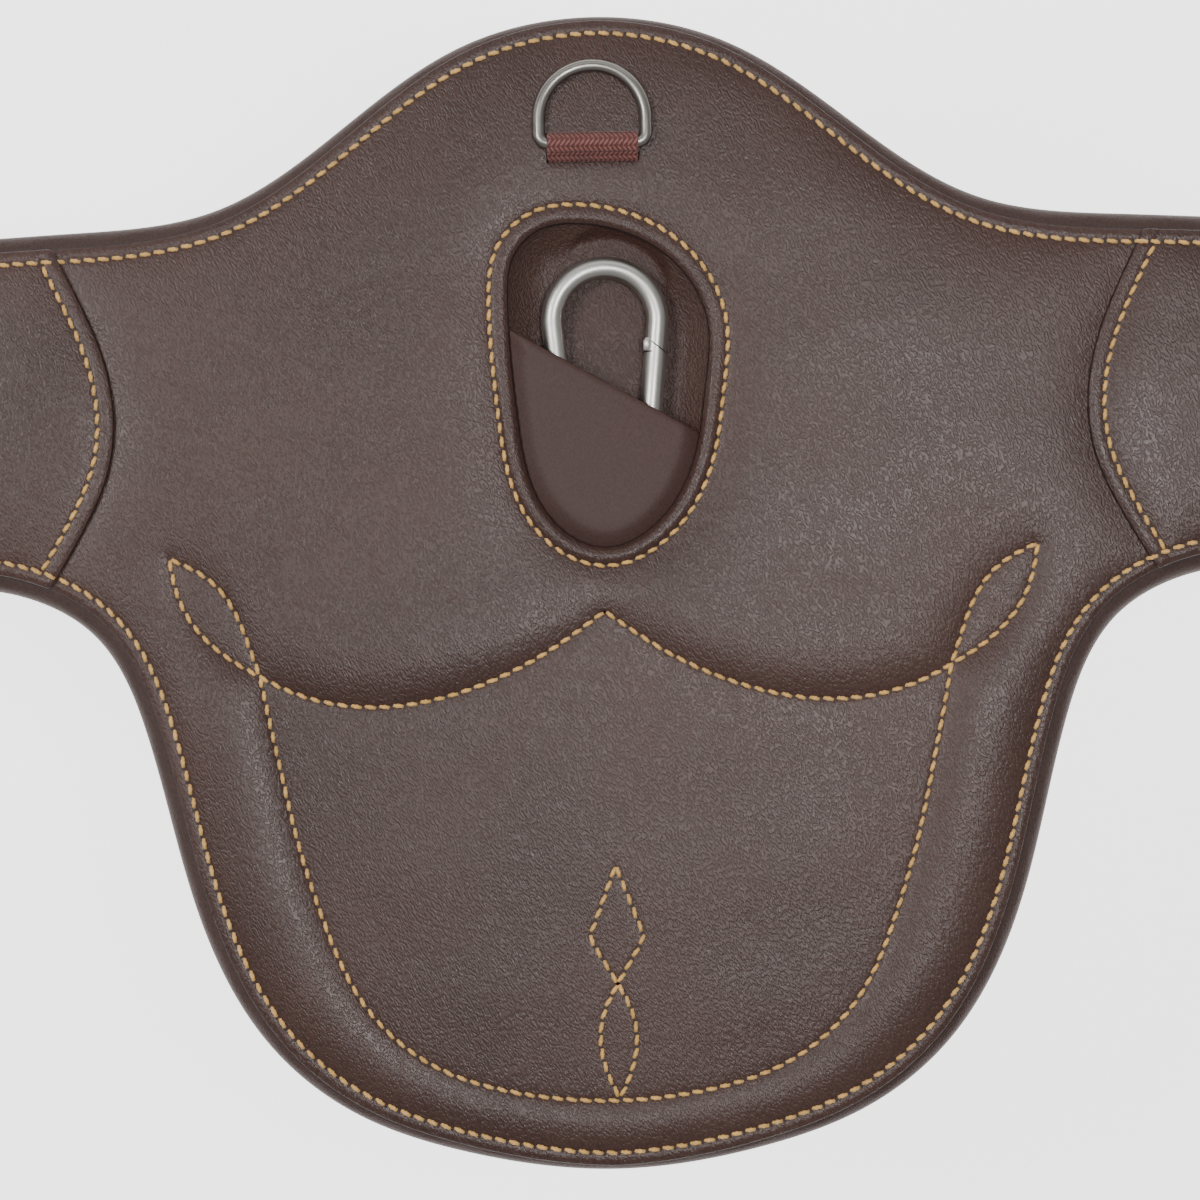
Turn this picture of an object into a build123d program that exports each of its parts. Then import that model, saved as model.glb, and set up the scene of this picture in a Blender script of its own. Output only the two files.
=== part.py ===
"""Stud guard girth: a padded leather girth whose middle widens into a belly guard.

The girth lies flat on its lining. +X runs along it from buckle to buckle, +Y points to the horse's
chest, +Z is the outer (leather) face. The origin is on the resting plane, under the middle of the
bounding box. Sizes are in millimetres.
"""

import os
from math import asin, atan, cos, degrees, sin, sqrt

from build123d import *

os.makedirs("parts", exist_ok=True)

# ---------------------------------------------------------------- driving sizes: the outline
girth_length = 750.0  # over the rollers at both ends
guard_front = 120.0  # from the arms' centre line to the chest edge
guard_drop = 240.0  # from the arms' centre line to the toe of the guard
guard_width = 282.0  # across the guard, just below the arms
band_width = 110.0  # arm, where it leaves the guard
arm_end_width = 96.0  # arm, at its buckle end
arm_corner = 18.0
arm_lead = 25.0  # straight run that the guard's curves take with them onto an arm
bend_offset = 10.5  # the line that an arm flexes about, outside the guard's half width

# ---------------------------------------------------------------- driving sizes: the layers
lining_thick = 1.5
load_strap_thick = 1.1
load_strap_wide = 60.0
foam_thick = 9.5
front_thick = 2.4
cover_thick = 2.2
insert_thick = 1.2  # semi-rigid sheet that spreads the blow of a stud
edge_roll = 4.0  # lining seen outside the front leather's cut edge
edge_bevel = 2.6  # of the rolled edge
turn_in = 12.0  # lining turned in under the front leather
seam_inset = 4.0  # stitch line inside a cut edge
cover_seam_inset = 4.8
box_seam_long = 22.0
box_seam_wide = 20.0
thread_wide = 1.1
thread_high = 0.5
soft_gap = 0.3  # between pieces of different bodies
bore_gap = 0.1  # round a pin or a bar
tape_end = 0.4
parallel_steps = 40  # spans of a line that runs beside a curve
touch = 0.01

# ---------------------------------------------------------------- driving sizes: hook and pocket
wire = 7.0
gate_wire = 7.2
hook_length = 80.0
hook_top_radius = 16.5  # of the wire's centre line
hook_toe_radius = 12.5
hook_x = 1.8
hook_rise = 5.5  # hook's middle, above the arms' centre line
hook_travel = 6.0
gate_length = 33.0
gate_slant = 4.8  # rise of the gate's tip face across the wire
gate_gap = 0.4
pivot_rise = 8.0  # gate's pin, above the toe bend
tang_play = 0.3
tang_thick = 2.8
tang_neck = 2.8  # half width, where the tang leaves the wire
pin_radius = 1.2
spring_radius = 1.5
spring_wire = 0.5
spring_length = 12.0
hook_strap_wide = 12.0
hook_strap_thick = 0.9
hook_strap_reach = 11.5  # from the hook's toe to the sewn end
pocket_leather = 1.1
pocket_side_room = 11.4  # beside the hook, on average
pocket_end_room = 7.9  # beyond each end of the hook's travel, on average
pocket_turn = 9.0  # pocket leather held under the front leather
pocket_seam = 5.6
dome_slope = 5.5

# ---------------------------------------------------------------- driving sizes: ring and buckles
ring_wire = 4.0
ring_side_play = 0.5
ring_reach = 24.2  # bar to the far side, centre to centre
ring_corner = 3.0
ring_x = -1.0
ring_setback = 39.7  # bar, from the chest edge
ring_tape_wide = 28.4
ring_tape_thick = 1.2
ring_tape_tail = 18.0

buckle_wire = 4.5
buckle_side_play = 1.0
buckle_reach = 26.0  # bar to roller, centre to centre
buckle_corner = 3.0
roller_wall = 0.9
tongue_wide = 6.0
tongue_thick = 2.6
elastic_wide = 31.0
elastic_layer = 2.0
elastic_free = 45.0  # arm end to buckle bar
elastic_root = 42.0  # sewn inside the arm
elastic_pitch = 48.0  # centre to centre of an arm's two straps
tongue_slot = 8.0
tongue_overhang = 2.0
loop_length = 14.0  # of the elastic, from the bar to where its layers meet
loop_hollow = 0.6  # share of that length that stays open

# ---------------------------------------------------------------- worked-out places
half_width = guard_width / 2
band_y = (guard_drop - guard_front) / 2
chest_y = band_y + guard_front
toe_y = band_y - guard_drop
band_top = band_y + band_width / 2
band_low = band_y - band_width / 2
shoulder = chest_y - band_top
hip = band_low - toe_y
roller_radius = buckle_wire / 2 + bore_gap + roller_wall
bar_x = girth_length / 2 - roller_radius - buckle_reach
arm_end_x = bar_x - elastic_free
bend_x = half_width + bend_offset

foam_top = lining_thick + foam_thick
front_top = foam_top + front_thick
cover_top = front_top + cover_thick
pocket_base = lining_thick + load_strap_thick
pocket_floor_top = pocket_base + pocket_leather
hook_z = pocket_floor_top + soft_gap + hook_strap_thick + bore_gap + wire / 2
dome_low = hook_z + wire / 2 + bore_gap + hook_strap_thick + soft_gap
elastic_thick = 2 * elastic_layer
elastic_z = foam_top - soft_gap - elastic_thick / 2
bar_z = buckle_wire / 2 + bore_gap + elastic_layer
roller_tilt = asin((bar_z - roller_radius) / buckle_reach)
strap_rows = {"front": band_y + elastic_pitch / 2, "rear": band_y - elastic_pitch / 2}
sides = {"left": -1, "right": 1}

ring_inner = ring_tape_wide + 2 * ring_side_play
buckle_inner = elastic_wide + 2 * buckle_side_play
hook_y = band_y + hook_rise
hook_toe_y = hook_y - hook_length / 2
pocket_wide = 2 * hook_top_radius + wire + 2 * pocket_side_room
pocket_long = hook_length + hook_travel + 2 * pocket_end_room

# Points of the half outline: across, as a share of the guard's half width, and up the shoulder or
# down the hip, as a share of its height.
shoulder_points = [(0.851, 0.095), (0.567, 0.474), (0.284, 0.878)]
shoulder_end = 1.17
hip_points = [
    (1.135, 0.077), (1.016, 0.255), (0.901, 0.579), (0.748, 0.79), (0.56, 0.903), (0.33, 0.966),
]
hip_start = 1.347

# The pocket's mouth, from the hook's middle, in shares of the pocket's width and length.
pocket_points = [
    (-0.016, -0.505), (0.226, -0.441), (0.43, -0.246), (0.498, -0.012), (0.513, 0.194),
    (0.377, 0.357), (0.075, 0.473), (-0.121, 0.495), (-0.318, 0.478), (-0.452, 0.398),
    (-0.487, 0.27), (-0.447, -0.105), (-0.349, -0.358), (-0.153, -0.482),
]
# The flap's free edge crosses the pocket through this point, in the same shares, at this angle.
flap_share = (-0.016, 0.016)
flap_angle = -29.8

# The arm cover's inner edge: across, outside the bend line, and up from the arms' centre line.
cover_points = [
    (25.0, -61.0), (10.0, -36.0), (3.0, -20.0), (0.9, 0.0), (4.5, 18.0), (13.0, 38.0), (24.0, 60.0),
]

# The impact insert, in the same shares of half width and hip: down its side, then along its top.
insert_side = [(0.68, 0.245), (0.63, 0.43), (0.575, 0.57), (0.48, 0.7), (0.32, 0.79), (0.16, 0.825)]
insert_toe = (0.0, 0.84)
insert_top = [(0.5, 0.262), (0.284, 0.232), (0.142, 0.18)]
insert_peak = (0.0, 0.125)

# The seam round the guard's flat middle, in the same shares of half width and hip. It runs down
# both sides to its toe, and its upper line dips on both sides of a peak.
guard_points = [
    (0.759, 0.188), (0.727, 0.308), (0.688, 0.443), (0.638, 0.568), (0.546, 0.719), (0.39, 0.824),
    (0.213, 0.869),
]
guard_toe = (0.0, 0.885)
guard_corner = (0.767, 0.158)
belly_points = [(0.709, 0.181), (0.511, 0.213), (0.284, 0.181), (0.142, 0.131)]
belly_peak = (0.0, 0.058)
# Above the corner both lines go on and close a leaf, whose tip points at the arm.
leaf_upper = [(0.784, 0.119), (0.816, 0.054), (0.869, -0.003)]
leaf_tip = (0.963, -0.044)
leaf_lower = [(0.942, 0.027), (0.89, 0.09), (0.816, 0.136)]
# The stitched motif above the toe, half of it: across, and up from the toe of that seam.
motif_x = 1.9
motif_points = [(0.0, 73.0), (8.6, 49.0), (0.0, 35.5), (-5.5, 17.5), (0.0, 1.0)]


# ---------------------------------------------------------------- helpers
def beside(curve, distance):
    """Points of a line that runs beside a curve, on its left for a distance over zero."""
    shares = [i / parallel_steps for i in range(parallel_steps + 1)]
    return [curve @ u + (curve % u).rotate(Axis.Z, 90) * distance for u in shares]


def ribbon(curve, wide):
    """A flat band of even width along a curve."""
    left = beside(curve, wide / 2)
    right = beside(curve, -wide / 2)
    with BuildSketch() as band:
        with BuildLine():
            Spline(*left)
            Line(left[-1], right[-1])
            Spline(*reversed(right))
            Line(right[0], left[0])
        make_face()
    return band.sketch


def girth_outline(inset=0.0):
    """The whole girth's outline, both arms included, inset evenly."""
    chest = beside(chest_curve, -inset)
    toe = beside(toe_curve, -inset)
    end_x = arm_end_x - inset
    end_top = chest[-1] + top_run * ((end_x - chest[-1].X) / top_run.X)
    end_low = toe[0] + low_run * ((end_x - toe[0].X) / low_run.X)
    with BuildSketch() as outline:
        with BuildLine():
            Spline(*chest)
            Polyline(chest[-1], end_top, end_low, toe[0])
            Spline(*toe)
            Polyline(toe[-1], (-end_x, end_low.Y), (-end_x, end_top.Y), chest[0])
        make_face()
        corners = [v for v in outline.vertices() if abs(abs(v.X) - end_x) < touch]
        fillet(corners, radius=arm_corner - inset)
    return outline.sketch


def girth_slab(inset, low, high, bevel):
    """The girth's outline as a slab, with both of its edges bevelled."""
    with BuildPart() as slab:
        for z, extra in ((low, bevel), (low + bevel, 0), (high - bevel, 0), (high, bevel)):
            with BuildSketch(Plane.XY.offset(z)):
                add(girth_outline(inset + extra))
        loft(ruled=True)
    return slab.part


def pocket_outline(grow=0.0):
    """The pocket's mouth in the front leather, grown evenly."""
    with BuildSketch() as mouth:
        with BuildLine():
            Spline(*beside(mouth_curve, -grow)[:-1], periodic=True)
        make_face()
    return mouth.sketch


def on_guard(shares, side=1):
    """Points of the guard from their shares of its half width and hip."""
    return [(side * half_width * u, band_low - hip * v) for u, v in shares]


def in_pocket(across, up):
    """A place in the pocket from its shares of the pocket's width and length."""
    return (hook_x + pocket_wide * across, hook_y + pocket_long * up)


def cover_region(side, shift=0.0):
    """Everything outboard of an arm cover's inner edge, on one side."""
    edge = [(side * (bend_x + x + shift), band_y + y) for x, y in cover_points]
    far = side * girth_length
    with BuildSketch() as region:
        with BuildLine():
            Spline(*edge)
            Polyline(edge[-1], (far, edge[-1][1]), (far, edge[0][1]), edge[0])
        make_face()
    return region.sketch


def teardrop(bar_radius, tail, tail_thick):
    """A loop's profile round a bar at the origin, drawn out to its tail."""
    with BuildSketch() as drop:
        Circle(bar_radius)
        with Locations(tail):
            Rectangle(tape_end, tail_thick)
        make_hull()
    return drop.sketch


def export_in_thirds(whole, name):
    """Writes a layer as its middle and its two arms, cut at the lines that the arms flex about."""
    cuts = {
        "center": (-bend_x, bend_x),
        "left": (-girth_length, -bend_x - soft_gap),
        "right": (bend_x + soft_gap, girth_length),
    }
    for third, (low, high) in cuts.items():
        with BuildPart() as piece:
            add(whole)
            with Locations(((low + high) / 2, 0, 0)):
                Box(high - low, 2 * girth_length, 2 * girth_length, mode=Mode.INTERSECT)
        piece.part.label = f"{name}_{third}"
        export_step(piece.part, f"parts/{name}_{third}.step")


def below_flap():
    """The half plane below the flap's free edge."""
    with BuildSketch() as half:
        with Locations(Location(in_pocket(*flap_share), flap_angle)):
            Rectangle(girth_length, girth_length, align=(Align.CENTER, Align.MAX))
    return half.sketch


# ---------------------------------------------------------------- curves that the pieces share
shoulder_foot = Vector(half_width * shoulder_end, band_top)
hip_foot = Vector(half_width * hip_start, band_low)
top_run = (Vector(arm_end_x, band_y + arm_end_width / 2) - shoulder_foot).normalized()
low_run = (Vector(arm_end_x, band_y - arm_end_width / 2) - hip_foot).normalized()
chest_half = [(half_width * u, band_top + shoulder * v) for u, v in shoulder_points]
chest_half = [shoulder_foot + top_run * arm_lead, shoulder_foot, *[Vector(*p) for p in chest_half]]
toe_half = [hip_foot + low_run * arm_lead, hip_foot, *[Vector(*p) for p in on_guard(hip_points)]]
with BuildLine() as chest_line:
    Spline(*[(-p.X, p.Y) for p in chest_half], (0, chest_y), *reversed(chest_half))
with BuildLine() as toe_line:
    Spline(*toe_half, (0, toe_y), *[(-p.X, p.Y) for p in reversed(toe_half)])
with BuildLine() as mouth_line:
    Spline(*[in_pocket(*share) for share in pocket_points], periodic=True)
chest_curve = chest_line.edge()
toe_curve = toe_line.edge()
mouth_curve = mouth_line.edge()

leather_outline = girth_outline(edge_roll)
mouth_outline = pocket_outline()
flap_half = below_flap()

# ---------------------------------------------------------------- lining
core = girth_slab(lining_thick, lining_thick, foam_top - lining_thick, edge_bevel - lining_thick / 2)

# Room for the roots of the elastic straps, open at the ends of the arms.
root_room = elastic_root + 2 * soft_gap
root_middle = arm_end_x - elastic_root / 2
with BuildPart() as strap_roots:
    for side in sides.values():
        with Locations(*[(side * root_middle, row, foam_top) for row in strap_rows.values()]):
            Box(
                root_room,
                elastic_wide + 2 * soft_gap,
                2 * (elastic_thick + 2 * soft_gap),
            )

with BuildPart() as lining:
    add(girth_slab(0, 0, foam_top, edge_bevel))
    add(core, mode=Mode.SUBTRACT)
    with BuildSketch(Plane.XY.offset(foam_top)):
        add(girth_outline(turn_in))
    extrude(amount=-2 * lining_thick, mode=Mode.SUBTRACT)
    add(strap_roots.part, mode=Mode.SUBTRACT)
export_in_thirds(lining.part, "lining")

# ---------------------------------------------------------------- load strap
load_strap_length = 2 * (arm_end_x - turn_in)
with BuildPart() as load_strap:
    with Locations((0, band_y, lining_thick)):
        Box(
            load_strap_length,
            load_strap_wide,
            load_strap_thick,
            align=(Align.CENTER, Align.CENTER, Align.MIN),
        )
export_in_thirds(load_strap.part, "load_strap")

# ---------------------------------------------------------------- impact insert
with BuildPart() as insert:
    with BuildSketch(Plane.XY.offset(foam_top)):
        with BuildLine():
            Spline(
                *on_guard([*insert_side, insert_toe]),
                *on_guard(reversed(insert_side), -1),
            )
            for side in sides.values():
                Spline(*on_guard([insert_side[0], *insert_top, insert_peak], side))
        make_face()
    extrude(amount=-insert_thick)
insert.part.label = "impact_insert"
export_step(insert.part, "parts/impact_insert.step")

# ---------------------------------------------------------------- pocket
with BuildPart() as pocket_liner:
    with BuildSketch(Plane.XY.offset(pocket_base)):
        add(pocket_outline(pocket_leather))
    extrude(amount=foam_top - pocket_base)
    with BuildSketch(Plane.XY.offset(foam_top)):
        add(pocket_outline(pocket_turn))
    extrude(amount=-pocket_leather)
    with BuildSketch(Plane.XY.offset(pocket_floor_top)):
        add(mouth_outline)
    extrude(amount=foam_top, mode=Mode.SUBTRACT)
    # Below the flap's free edge, the flap's own margin takes the place of the liner's.
    with BuildSketch(Plane.XY.offset(foam_top)):
        add(flap_half)
    extrude(amount=-pocket_leather, mode=Mode.SUBTRACT)
pocket_liner.part.label = "pocket_liner"
export_step(pocket_liner.part, "parts/pocket_liner.step")

dome_top = dome_low + pocket_leather
with BuildPart() as dome_hollow:
    with BuildSketch(Plane.XY.offset(foam_top - pocket_leather)):
        add(pocket_outline(-pocket_leather))
    with BuildSketch(Plane.XY.offset(dome_low)):
        add(pocket_outline(-pocket_leather - dome_slope))
    loft()

with BuildPart() as pocket_flap:
    with BuildSketch(Plane.XY.offset(foam_top)):
        add(pocket_outline(pocket_turn))
    extrude(amount=-pocket_leather)
    with BuildSketch(Plane.XY.offset(foam_top)):
        add(mouth_outline)
    with BuildSketch(Plane.XY.offset(dome_top)):
        add(pocket_outline(-dome_slope))
    loft()
    add(dome_hollow.part, mode=Mode.SUBTRACT)
    with BuildSketch():
        add(flap_half)
    extrude(amount=girth_length, mode=Mode.INTERSECT)
pocket_flap.part.label = "pocket_flap"
export_step(pocket_flap.part, "parts/pocket_flap.step")

# ---------------------------------------------------------------- tape that holds the D-ring
ring_y = chest_y - ring_setback
ring_bar_z = front_top + ring_tape_thick + bore_gap + ring_wire / 2
tape_slit = 2 * ring_tape_thick
slit_y = ring_y - ring_wire / 2 - ring_tape_thick - tape_slit
tail_low = foam_top - tape_slit
ring_bore = ring_wire / 2 + bore_gap
with BuildPart() as ring_tape:
    with BuildSketch(Plane((ring_x, ring_y, ring_bar_z), x_dir=(0, 1, 0), z_dir=(1, 0, 0))):
        slit_foot = (slit_y - ring_y, front_top - ring_bar_z)
        loop_foot = (slit_foot[0] + tape_slit / 2, slit_foot[1] + tape_end / 2)
        add(teardrop(ring_bore + ring_tape_thick, loop_foot, tape_end))
        with Locations(slit_foot):
            Rectangle(tape_slit, front_top - tail_low, align=(Align.MIN, Align.MAX))
        with Locations((slit_foot[0], tail_low - ring_bar_z)):
            Rectangle(ring_tape_tail + tape_slit, tape_slit, align=(Align.MIN, Align.MIN))
        Circle(ring_bore, mode=Mode.SUBTRACT)
    extrude(amount=ring_tape_wide / 2, both=True)
ring_tape.part.label = "d_ring_tape"
export_step(ring_tape.part, "parts/d_ring_tape.step")

# ---------------------------------------------------------------- D-ring
ring_half = (ring_inner + ring_wire) / 2
ring_tilt = asin((ring_bar_z - front_top - ring_wire / 2 - bore_gap) / ring_reach)
ring_plane = Plane(
    (ring_x, ring_y, ring_bar_z), x_dir=(1, 0, 0), z_dir=(0, sin(ring_tilt), cos(ring_tilt))
)
with BuildPart() as d_ring:
    with BuildLine(ring_plane) as ring_path:
        side_top = ring_reach - ring_half
        Polyline((-ring_half, side_top), (-ring_half, 0), (ring_half, 0), (ring_half, side_top))
        ThreePointArc((ring_half, side_top), (0, ring_reach), (-ring_half, side_top))
        bar_corners = ring_path.vertices().sort_by(Axis.Y)[:2]
        fillet(bar_corners, radius=ring_corner)
    with BuildSketch(Plane(ring_path.line @ 0, z_dir=ring_path.line % 0)):
        Circle(ring_wire / 2)
    sweep(path=ring_path.line)
d_ring.part.label = "d_ring"
export_step(d_ring.part, "parts/d_ring.step")

# ---------------------------------------------------------------- foam
with BuildPart() as foam:
    add(core)
    with BuildSketch(Plane.XY.offset(foam_top)):
        add(girth_outline(turn_in))
    extrude(amount=-2 * lining_thick)
    add(load_strap.part, mode=Mode.SUBTRACT)
    add(insert.part, mode=Mode.SUBTRACT)
    add(strap_roots.part, mode=Mode.SUBTRACT)
    with BuildSketch(Plane.XY.offset(pocket_base)):
        add(pocket_outline(pocket_leather))
    extrude(amount=foam_top, mode=Mode.SUBTRACT)
    with BuildSketch(Plane.XY.offset(foam_top)):
        add(pocket_outline(pocket_turn))
    extrude(amount=-pocket_leather, mode=Mode.SUBTRACT)
    with Locations((ring_x, slit_y, tail_low)):
        Box(
            ring_tape_wide,
            ring_tape_tail + tape_slit,
            foam_top,
            align=(Align.CENTER, Align.MIN, Align.MIN),
            mode=Mode.SUBTRACT,
        )
export_in_thirds(foam.part, "foam")

# ---------------------------------------------------------------- front leather
with BuildPart() as front:
    with BuildSketch(Plane.XY.offset(foam_top)):
        add(leather_outline)
        add(mouth_outline, mode=Mode.SUBTRACT)
        with Locations((ring_x, slit_y)):
            Rectangle(ring_tape_wide, tape_slit, align=(Align.CENTER, Align.MIN), mode=Mode.SUBTRACT)
    extrude(amount=front_thick)
export_in_thirds(front.part, "front_leather")

# ---------------------------------------------------------------- arm covers
for name, side in sides.items():
    with BuildPart() as cover:
        with BuildSketch(Plane.XY.offset(front_top)):
            add(leather_outline)
            add(cover_region(side), mode=Mode.INTERSECT)
        extrude(amount=cover_thick)
    cover.part.label = f"arm_cover_{name}"
    export_step(cover.part, f"parts/arm_cover_{name}.step")

# ---------------------------------------------------------------- snap hook
toe_center = Vector(hook_x, hook_toe_y + wire / 2 + hook_toe_radius, hook_z)
top_center = Vector(hook_x, hook_toe_y + hook_length - wire / 2 - hook_top_radius, hook_z)
hook_lean = asin((hook_top_radius - hook_toe_radius) / (top_center.Y - toe_center.Y))
across = Vector(cos(hook_lean), -sin(hook_lean), 0)
along = Vector(sin(hook_lean), cos(hook_lean), 0)
gate_bow = gate_wire / 2 + bore_gap + tang_play
gate_pivot = toe_center + across * hook_toe_radius + along * pivot_rise
gate_plane = Plane(gate_pivot, x_dir=across, z_dir=(0, 0, 1))


def gate_zone(gap):
    """The gate's outline seen from above: round at the pivot, slanted at the tip."""
    reach = gate_length - gate_bow
    half = gate_wire
    rise = half * gate_slant / gate_wire
    with BuildSketch() as zone:
        Circle(gate_bow + gap)
        with BuildLine():
            Polyline(
                (-half, 0), (half, 0), (half, reach - rise + gap), (-half, reach + rise + gap),
                (-half, 0),
            )
        make_face()
    return zone.sketch


with BuildPart() as hook_body:
    with BuildLine(Plane.XY.offset(hook_z)) as hook_path:
        mirrored = Vector(-across.X, across.Y, 0)
        points = [
            center + way * radius
            for center, radius in ((top_center, hook_top_radius), (toe_center, hook_toe_radius))
            for way in (across, mirrored)
        ]
        top_right, top_left, toe_right, toe_left = [(p.X, p.Y) for p in points]
        ThreePointArc(top_right, (hook_x, top_center.Y + hook_top_radius), top_left)
        Line(top_left, toe_left)
        ThreePointArc(toe_left, (hook_x, toe_center.Y - hook_toe_radius), toe_right)
        Line(toe_right, top_right)
    with BuildSketch(Plane(hook_path.line @ 0, z_dir=hook_path.line % 0)):
        Circle(wire / 2)
    sweep(path=hook_path.line)
    with BuildSketch(gate_plane):
        add(gate_zone(gate_gap))
    extrude(amount=wire, both=True, mode=Mode.SUBTRACT)
    # The flat tang that the gate's fork straddles.
    with BuildSketch(gate_plane):
        Circle(gate_bow - gate_gap)
        with Locations((0, -gate_bow)):
            Rectangle(2 * tang_neck, 2 * gate_bow)
    extrude(amount=tang_thick / 2, both=True)
    with BuildSketch(gate_plane):
        Circle(pin_radius + bore_gap)
    extrude(amount=wire, both=True, mode=Mode.SUBTRACT)
hook_body.part.label = "hook_body"
export_step(hook_body.part, "parts/hook_body.step")

with BuildPart() as hook_gate:
    with BuildSketch(Plane(gate_pivot - along * gate_bow, z_dir=along)):
        Circle(gate_wire / 2)
    extrude(amount=gate_length + gate_slant)
    with BuildSketch(gate_plane):
        add(gate_zone(0))
    extrude(amount=gate_wire, both=True, mode=Mode.INTERSECT)
    with BuildSketch(gate_plane):
        with Locations((0, gate_bow)):
            Rectangle(2 * gate_wire, 3 * gate_bow, align=(Align.CENTER, Align.MAX))
    extrude(amount=tang_thick / 2 + bore_gap, both=True, mode=Mode.SUBTRACT)
    with BuildSketch(gate_plane):
        Circle(pin_radius)
    extrude(amount=gate_wire, both=True, mode=Mode.SUBTRACT)
    with BuildSketch(Plane(gate_pivot + along * gate_bow, z_dir=along)):
        Circle(spring_radius + bore_gap)
    extrude(amount=spring_length + bore_gap, mode=Mode.SUBTRACT)
hook_gate.part.label = "hook_gate"
export_step(hook_gate.part, "parts/hook_gate.step")

with BuildPart() as gate_pin:
    with BuildSketch(gate_plane):
        Circle(pin_radius)
    extrude(amount=gate_wire / 2, both=True)
gate_pin.part.label = "gate_pin"
export_step(gate_pin.part, "parts/gate_pin.step")

spring_turn = spring_radius - spring_wire / 2
with BuildPart() as gate_spring:
    with BuildLine() as coil:
        Helix(
            pitch=3 * spring_wire,
            height=spring_length - 2 * spring_wire,
            radius=spring_turn,
            center=gate_pivot + along * (gate_bow + spring_wire),
            direction=along,
        )
    with BuildSketch(Plane(coil.line @ 0, z_dir=coil.line % 0)):
        Circle(spring_wire / 2)
    sweep(path=coil.line, is_frenet=True)
gate_spring.part.label = "gate_spring"
export_step(gate_spring.part, "parts/gate_spring.step")

# ---------------------------------------------------------------- strap that ties the hook down
strap_loop_y = toe_center.Y - hook_toe_radius
strap_bow = wire / 2 + bore_gap + hook_strap_thick
toe_sag = hook_toe_radius - sqrt(hook_toe_radius**2 - (hook_strap_wide / 2) ** 2)
strap_drop = hook_z - pocket_floor_top - soft_gap - hook_strap_thick
with BuildPart() as hook_strap:
    with BuildSketch(Plane((hook_x, strap_loop_y, hook_z), x_dir=(0, 1, 0), z_dir=(1, 0, 0))):
        strap_tail = (-hook_strap_reach / 2, -strap_drop / 2)
        add(teardrop(strap_bow, strap_tail, 2 * hook_strap_thick))
        with BuildSketch(mode=Mode.PRIVATE) as bow:
            Circle(strap_bow)
            with Locations((toe_sag, 0)):
                Circle(strap_bow)
            make_hull()
        add(bow.sketch)
        with BuildLine():
            Polyline(
                (strap_tail[0], strap_tail[1] + hook_strap_thick),
                (-hook_strap_reach, hook_strap_thick - strap_drop),
                (-hook_strap_reach, -strap_drop),
                (strap_tail[0], strap_tail[1] - hook_strap_thick),
                close=True,
            )
        make_face()
        Circle(wire / 2 + bore_gap, mode=Mode.SUBTRACT)
    extrude(amount=hook_strap_wide / 2, both=True)
    with Locations(toe_center):
        Torus(hook_toe_radius, wire / 2 + bore_gap, mode=Mode.SUBTRACT)
hook_strap.part.label = "hook_strap"
export_step(hook_strap.part, "parts/hook_strap.step")

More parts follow.
